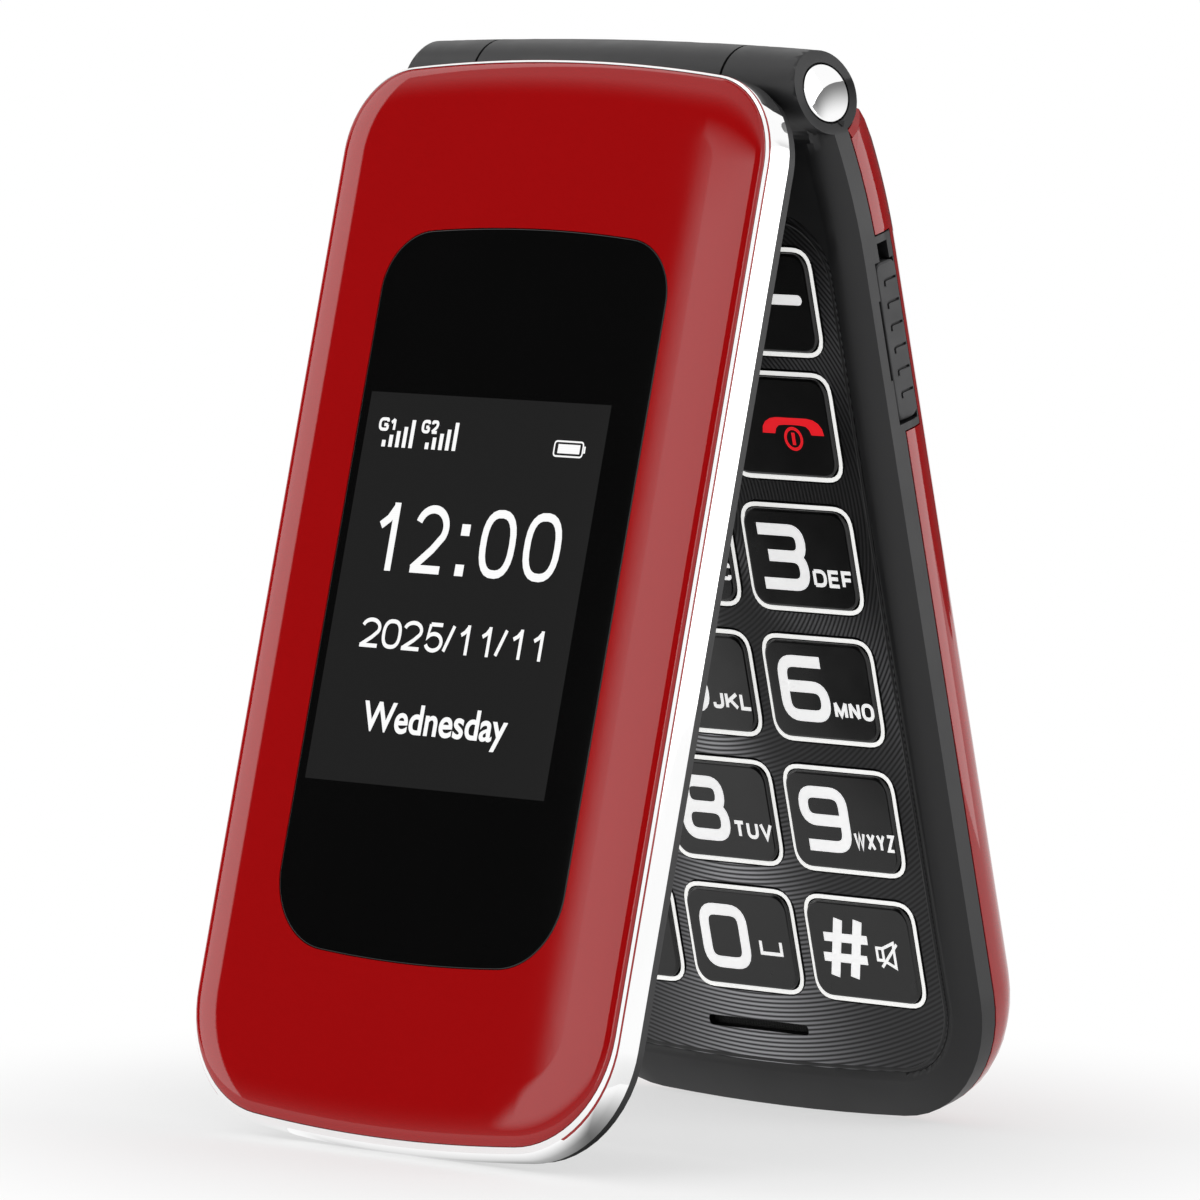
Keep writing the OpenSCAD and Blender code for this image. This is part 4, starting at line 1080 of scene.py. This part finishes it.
# lips at the back cover's top corners, which close it up to the hinge: turn below the axis and outer end
coverLip = {
    "reach": (4.05, 4.83),
    "inner": 24.0,
    "draw": 0.22,
    "ends": ((-16.8, 26.87), (-21.8, 26.8), (-26.7, 26.73), (-31.8, 26.66), (-38.2, 26.45), (-42.1, 26.33),
             (-45.9, 26.21), (-49.7, 26.08), (-53.6, 25.91), (-57.5, 25.75)),
}


def makeCoverLip(name, side, settings):
    near, far = settings["reach"]
    loops = []
    for turn, end in settings["ends"]:
        y, z = -math.cos(math.radians(turn)), math.sin(math.radians(turn))
        corners = ((settings["inner"], far), (end, far), (end - settings["draw"], near), (settings["inner"], near))
        loops.append([(side * x, y * reach, z * reach) for x, reach in corners])
    finishPiece(loft(name, loops), baseFrame, "battery_cover", "red_gloss")


makeCoverLip("coverLipRight", 1, coverLip)
makeCoverLip("coverLipLeft", -1, coverLip)


# rubber port cover: rounded corners and six hooked grip grooves
portCover = {
    "head": 16.7,
    "pivot": 31.3,
    "outer": 27.95,
    "thick": 1.5,
    "middle": -2.0,
    "high": 2.7,
    "corner": 0.7,
    "edge": 0.16,
    "steps": 16,
    "groove": {"count": 6, "first": 18.4, "pitch": 2.17, "from": 3.15, "to": 1.5, "hook": 0.62, "round": 0.3,
               "width": 0.26, "deep": 0.3},
}


def makePortCover(settings):
    half, corner, edge = settings["high"] / 2, settings["corner"], settings["edge"]
    inner, outer, steps = settings["outer"] - settings["thick"], settings["outer"], settings["steps"]
    loops = []
    for i in range(steps + 1):
        # heights run from edge to edge, closer together near the edges
        z = -half * math.cos(math.pi * i / steps)
        into = max(0, abs(z) - half + corner)
        cut = corner - math.sqrt(max(0, corner ** 2 - into ** 2))
        thin = edge - math.sqrt(max(0, edge ** 2 - max(0, abs(z) - half + edge) ** 2))
        radius = settings["thick"] / 2 - thin
        end = arcPoints((inner + outer) / 2, cut - settings["pivot"], radius, 0, -math.pi, steps)
        head = -settings["head"] - cut
        top = [(inner + thin, head - edge), (inner + thin + edge, head), (outer - thin - edge, head),
               (outer - thin, head - edge)]
        loops.append(atHeight(end + top, settings["middle"] + z))
    cover = loft("portCover", loops)
    groove = settings["groove"]
    cutters = []
    for i in range(groove["count"]):
        y = -groove["first"] - i * groove["pitch"]
        hook = [(groove["from"], y), (groove["to"], y), (groove["to"], y - groove["hook"])]
        cutters.append(strokeMark("grip", hook, groove["width"], outer - groove["deep"], outer + 1, groove["round"]))
    cutter = joinMarks("gripCutter", cutters)
    cutter.data.transform(Matrix.Rotation(math.pi / 2, 4, "Y"))
    cutAway(cover, cutter)
    finishPiece(cover, baseFrame, "port_cover", "black_rubber", ("port_cover",))


makePortCover(portCover)


# casing pieces whose CAD shape is right, with smooth skins
for node in ("base_front_frame", "base_rear_housing", "battery_cover", "lid_bumpers", "lid_plugs", "camera_lens",
             "flash_lamp", "vibration_motor", "base_screws"):
    smoothCopy(node)
smoothCopy("volume_key", bevel=0.12)


# plated caps in the ends of the hinge: turned discs with a rounded rim and a low dome
hingeCap = {
    "at": 25.7608,
    "tilt": 15.836,
    "radius": 2.78,
    "deep": 1.0,
    "rim": 0.2,
    "proud": 0.06,
    "dome": 0.32,
    "domeAt": (0.85, 0.7, 0.55, 0.4, 0.25, 0.1),
    "segments": 72,
    "notch": ((0.1, -2.95), (0.55, -3.5), (0.95, -3.0)),
    "notchHeight": (-0.05, 0.015),
}


def makeHingeCap(name, node, side, settings):
    reach, rim, rise = settings["radius"] - settings["rim"], settings["rim"], settings["proud"]
    profile = [(settings["radius"], -settings["deep"])] + arcPoints(reach, rise - rim, rim, 0, math.pi / 2, 6)
    profile += [(reach * t, rise + settings["dome"] * (1 - t * t)) for t in settings["domeAt"]]
    cap = loft(name, [atHeight(arcPoints(0, 0, r, 0, 2 * math.pi, settings["segments"])[:-1], z) for r, z in profile])
    place = Matrix.Translation((side * settings["at"], 0, 0))
    place = place @ Matrix.Rotation(side * math.radians(settings["tilt"]), 4, "Z")
    place = place @ Matrix.Rotation(side * math.pi / 2, 4, "Y")
    cap.data.transform(place)
    finishPiece(cap, baseFrame, "base", slotOf[node], (node,), angle=40)
    # nick beside the cap, to prise it out: a flat near-black plate that is painted shade of its hollow
    corners = [(side * x, y) for x, y in settings["notch"]][::side]
    nickShade = plateMark(name + "NickShade", corners, *settings["notchHeight"])
    nickShade.data.transform(place)
    finishPiece(nickShade, baseFrame, "base", "inner_housing", material=dustCloth)


makeHingeCap("hingeCapRight", "hinge_cap_right", 1, hingeCap)
makeHingeCap("hingeCapLeft", "hinge_cap_left", -1, hingeCap)
print("casing skins made")


# studio: pale floor, white surroundings and soft boxes
studio = {
    "floorSize": 6.0,
    "floorColour": "#f4f4f4",
    "whiteFrom": 0.03,
    "whiteBy": 0.09,
    "leastWhite": 0.6,
    "fill": 0.45,
    # gloss sees white above, in front and to the sides: each axis with where that begins and where it is full
    "whiteWays": (("X", 0.38, 0.55), ("X", -0.75, -0.9), ("Y", 0.35, 0.0), ("Z", 0.15, 0.38)),
    "darkWay": 0.1,
}


# 1 for rays that the camera sends, straight or by way of gloss or glass, and 0 for the light on things
def seenRay(tree):
    light = addNode(tree, "ShaderNodeLightPath")
    seen = addNode(tree, "ShaderNodeMath", {"operation": "MAXIMUM"},
                   links={0: light.outputs["Is Camera Ray"], 1: light.outputs["Is Glossy Ray"]})
    return addNode(tree, "ShaderNodeMath", {"operation": "MAXIMUM"},
                   links={0: seen.outputs[0], 1: light.outputs["Is Transmission Ray"]}).outputs[0]


def addFloor(settings):
    bpy.ops.object.select_all(action="DESELECT")
    bpy.ops.mesh.primitive_plane_add(size=settings["floorSize"])
    floor = bpy.context.object
    floor.name = "floor"
    # pale painted floor that turns to plain white away from the object
    material, tree, shader = startMaterial("paleFloor", Base_Color=linear(settings["floorColour"]), Roughness=0.9)
    place = addNode(tree, "ShaderNodeTexCoord")
    away = addNode(tree, "ShaderNodeVectorMath", {"operation": "LENGTH"}, links={0: place.outputs["Object"]})
    share = addNode(tree, "ShaderNodeMapRange", {"interpolation_type": "SMOOTHSTEP"},
                    {"From Min": settings["whiteFrom"], "From Max": settings["whiteBy"],
                     "To Min": settings["leastWhite"]}, {"Value": away.outputs["Value"]})
    white = addNode(tree, "ShaderNodeMath", {"operation": "MULTIPLY"},
                    links={0: share.outputs["Result"], 1: seenRay(tree)})
    glow = addNode(tree, "ShaderNodeEmission", None, {"Color": (1, 1, 1, 1), "Strength": 1.0})
    mix = addNode(tree, "ShaderNodeMixShader",
                  links={0: white.outputs[0], 1: shader.outputs["BSDF"], 2: glow.outputs["Emission"]})
    tree.links.new(mix.outputs["Shader"], tree.nodes["Material Output"].inputs["Surface"])
    floor.data.materials.append(material)


def addWorld(settings):
    world = bpy.data.worlds.new("whiteStudio")
    bpy.context.scene.world = world
    world.use_nodes = True
    tree = world.node_tree
    level = addNode(tree, "ShaderNodeMapRange", None, {"To Min": settings["fill"], "To Max": 1.0},
                    {"Value": seenRay(tree)})
    way = addNode(tree, "ShaderNodeSeparateXYZ", links={0: addNode(tree, "ShaderNodeTexCoord").outputs["Generated"]})
    # plain to anything but gloss
    white = addNode(tree, "ShaderNodeMath", {"operation": "SUBTRACT"}, {0: 1.0},
                    {1: addNode(tree, "ShaderNodeLightPath").outputs["Is Glossy Ray"]}).outputs[0]
    for axis, start, full in settings["whiteWays"]:
        rise = addNode(tree, "ShaderNodeMapRange", {"interpolation_type": "SMOOTHSTEP"},
                       {"From Min": start, "From Max": full}, {"Value": way.outputs[axis]})
        white = addNode(tree, "ShaderNodeMath", {"operation": "MAXIMUM"},
                        links={0: white, 1: rise.outputs["Result"]}).outputs[0]
    share = addNode(tree, "ShaderNodeMapRange", None, {"To Min": settings["darkWay"], "To Max": 1.0},
                    {"Value": white})
    strength = addNode(tree, "ShaderNodeMath", {"operation": "MULTIPLY"},
                       links={0: level.outputs["Result"], 1: share.outputs["Result"]})
    tree.links.new(strength.outputs[0], tree.nodes["Background"].inputs["Strength"])
    tree.nodes["Background"].inputs["Color"].default_value = (1, 1, 1, 1)


addFloor(studio)
addWorld(studio)

softBoxes = {
    "frontBox": {"at": (-0.45, -1.75, 0.45), "size": (1.2, 1.2), "watts": 10.5},
    "leftBox": {"at": (-0.95, -0.35, 0.4), "size": (0.4, 0.8), "watts": 2.0},
    "topBox": {"at": (-0.1, -0.2, 1.1), "size": (0.9, 0.7), "watts": 0.7},
    "rightBox": {"at": (0.95, 0.35, 0.5), "size": (0.5, 0.8), "watts": 3.0},
}
lookAt = Vector((0, 0, 0.05))
for name, box in softBoxes.items():
    data = bpy.data.lights.new(name, "AREA")
    data.shape = "RECTANGLE"
    data.size, data.size_y = box["size"]
    data.energy = box["watts"]
    lamp = addObject(name, data)
    lamp.location = box["at"]
    lamp.rotation_mode = "QUATERNION"
    lamp.rotation_quaternion = (lookAt - Vector(box["at"])).to_track_quat("-Z", "Y")

# black card that the lid's face mirrors, with paler fields that give the bands along its edges; the fields are
# laid out in the lid's own millimetres as a flat face would mirror them, and the crown folds them in
cardSettings = {
    "away": 0.55,
    "middle": 50.0,
    "span": 10.0,
    "reach": (-430.0, 430.0, -330.0, 430.0),
    "dark": 0.02,
    # each field: axis, where it begins, where it is full, where it ends, its level there
    "fields": {
        "right": ("X", 18.3, 22.6, 187.0, 1.7),
        "left": ("X", -58.0, -64.0, -205.0, 2.1),
        "top": ("Y", -12.0, -60.0, -260.0, 0.7),
        "foot": ("Y", 112.0, 190.0, 330.0, 0.45),
    },
    "fieldEnd": 4.0,
    # the right field fades in below the top corner, and out at the foot: where it is nothing and where it is full
    "rightFades": ((-10.0, 17.0), (172.0, 126.0)),
}


# card that glows by itself and is seen in gloss alone; its strength follows the spot that each point is given
def glowCard(name, points, faces, spots, strength):
    mesh = bpy.data.meshes.new(name)
    mesh.from_pydata(points, [], faces)
    layer = mesh.uv_layers.new(name="spot")
    for loop in mesh.loops:
        layer.data[loop.index].uv = spots[loop.vertex_index]
    material, tree, shader = startMaterial(name)
    tree.nodes.remove(shader)
    place = addNode(tree, "ShaderNodeSeparateXYZ",
                    links={0: addNode(tree, "ShaderNodeUVMap", {"uv_map": "spot"}).outputs["UV"]})
    glow = addNode(tree, "ShaderNodeEmission", None, {"Color": (1, 1, 1, 1)}, {"Strength": strength(tree, place)})
    tree.links.new(glow.outputs["Emission"], tree.nodes["Material Output"].inputs["Surface"])
    card = addObject(name, mesh)
    card.data.materials.append(material)
    card.visible_camera = False
    card.visible_diffuse = False
    card.visible_shadow = False
    card.visible_transmission = False


# point of the card that the flat of the lid's face mirrors at x across and v below the hinge
def mirrored(x, v, settings):
    point = lidFrame @ Vector((x * mm, -v * mm, lidShape["face"] * mm))
    normal = (lidFrame.to_3x3() @ Vector((0, 0, 1))).normalized()
    ray = (point - camera.matrix_world.translation).normalized()
    ray = ray - 2 * ray.dot(normal) * normal
    middle = (camera.matrix_world.translation - hinge).normalized()
    facing = (middle - 2 * middle.dot(normal) * normal).normalized()
    target = lidFrame @ Vector((0, -settings["middle"] * mm, lidShape["face"] * mm)) - facing * settings["away"]
    return point + ray * ((target - point).dot(facing) / ray.dot(facing))


def addReflectionCard(settings):
    left, right, top, foot = settings["reach"]
    corners = rectangle(left, right, foot, top)
    # the mapping is linear near the face, so it is taken there and stretched
    at, span = settings["middle"], settings["span"]
    across = (mirrored(span, at, settings) - mirrored(-span, at, settings)) / (2 * span)
    down = (mirrored(0, at + span, settings) - mirrored(0, at - span, settings)) / (2 * span)
    points = [mirrored(0, at, settings) + across * x + down * (v - at) for x, v in corners]

    def fieldLevels(tree, place):
        levels = {}
        for field, (axis, start, full, end, level) in settings["fields"].items():
            value = place.outputs[axis]
            grown = addNode(tree, "ShaderNodeMapRange", {"interpolation_type": "SMOOTHSTEP"},
                            {"From Min": start, "From Max": full, "To Min": 0.0, "To Max": level}, {"Value": value})
            ended = addNode(tree, "ShaderNodeMapRange", None,
                            {"From Min": end, "From Max": end + math.copysign(settings["fieldEnd"], end),
                             "To Min": 1.0, "To Max": 0.0}, {"Value": value})
            levels[field] = addNode(tree, "ShaderNodeMath", {"operation": "MULTIPLY"},
                                    links={0: grown.outputs["Result"], 1: ended.outputs["Result"]}).outputs[0]
        for start, full in settings["rightFades"]:
            faded = addNode(tree, "ShaderNodeMapRange", {"interpolation_type": "SMOOTHSTEP"},
                            {"From Min": start, "From Max": full}, {"Value": place.outputs["Y"]})
            levels["right"] = addNode(tree, "ShaderNodeMath", {"operation": "MULTIPLY"},
                                      links={0: levels["right"], 1: faded.outputs["Result"]}).outputs[0]
        share = levels.pop("right")
        for level in levels.values():
            share = addNode(tree, "ShaderNodeMath", {"operation": "MAXIMUM"}, links={0: share, 1: level}).outputs[0]
        return addNode(tree, "ShaderNodeMath", {"operation": "ADD"}, {1: settings["dark"]}, {0: share}).outputs[0]
    glowCard("reflectionCard", points, [(0, 1, 2, 3)], corners, fieldLevels)


# plain cards, each softening to white over the outer share of its half size: a bright one for the walls on the right,
# and the shade under the lid's foot, which the band mirrors
plainCards = {
    "sideCard": {"at": (0.34, 0.37, 0.04), "across": (0.1473, -0.1353, 0), "rise": (0, 0, 0.2), "level": 2.4,
                 "soft": 0.1},
    "footCard": {"at": (0.012, -0.02, 0.0002), "across": (0.026, 0, 0), "rise": (0, 0.012, 0), "level": 0.12,
                 "soft": 0.6},
}


def addPlainCard(name, settings):
    middle, side, rise = (Vector(settings[key]) for key in ("at", "across", "rise"))
    corners = rectangle(-1, 1, -1, 1)

    def softLevel(tree, place):
        sides = [addNode(tree, "ShaderNodeMath", {"operation": "ABSOLUTE"}, links={0: place.outputs[axis]}).outputs[0]
                 for axis in "XY"]
        out = addNode(tree, "ShaderNodeMath", {"operation": "MAXIMUM"}, links={0: sides[0], 1: sides[1]})
        return addNode(tree, "ShaderNodeMapRange", {"interpolation_type": "SMOOTHSTEP"},
                       {"From Min": 1 - settings["soft"], "To Min": settings["level"], "To Max": 1.0},
                       {"Value": out.outputs[0]}).outputs["Result"]
    glowCard(name, [middle + side * x + rise * y for x, y in corners], [(0, 1, 2, 3)], corners, softLevel)


# graded card close to the right end of the hinge, whose bowed top edge gives the shade in the plated cap; its points
# are across, up and down its fall from the middle, in millimetres
capCard = {
    "from": (26.13, 0.92, 99.31),
    "toward": (0.9, 0.35, 0.25),
    "away": 1.5,
    "edge": ((2.13, -1.26, 1.2), (1.9, -0.88, 0.4), (1.63, -0.49, 0), (1.33, -0.15, 0), (0.98, 0.16, 0),
             (0.55, 0.47, 0), (0.06, 0.73, 0), (-0.4, 0.9, 0), (-0.91, 1.03, 0), (-1.5, 1.09, 0), (-2.1, 1.11, 0),
             (-3.2, 1.06, 0), (-4.2, 0.95, 0)),
    "foot": -3.9,
    "drawIn": 0.5,
    # where the fall is over, and its levels at the start and the end
    "levels": (3.6, 0.2, 1.0),
}


def addCapCard(settings):
    toward = Vector(settings["toward"]).normalized()
    middle = Vector(settings["from"]) + toward * settings["away"]
    side = toward.cross(Vector((0, 0, 1))).normalized()
    rise = side.cross(toward)
    edge, foot = settings["edge"], settings["foot"]
    upper = [(middle + side * x + rise * y) * mm for x, y, _ in edge]
    # the side next to the lid draws in, out of the band's sight
    lower = [(middle + side * (x * settings["drawIn"] if x > 0 else x) + rise * foot) * mm for x, _, _ in edge]
    spots = [(0, start) for _, _, start in edge] + [(0, y - foot) for _, y, _ in edge]
    count = len(edge)
    faces = [(i, i + 1, count + i + 1, count + i) for i in range(count - 1)]
    reach, start, end = settings["levels"]

    def fallLevel(tree, place):
        return addNode(tree, "ShaderNodeMapRange", {"interpolation_type": "SMOOTHSTEP"},
                       {"From Max": reach, "To Min": start, "To Max": end},
                       {"Value": place.outputs["Y"]}).outputs["Result"]
    glowCard("capCard", upper + lower, faces, spots, fallLevel)


addReflectionCard(cardSettings)
for name, settings in plainCards.items():
    addPlainCard(name, settings)
addCapCard(capCard)
print("studio lit")
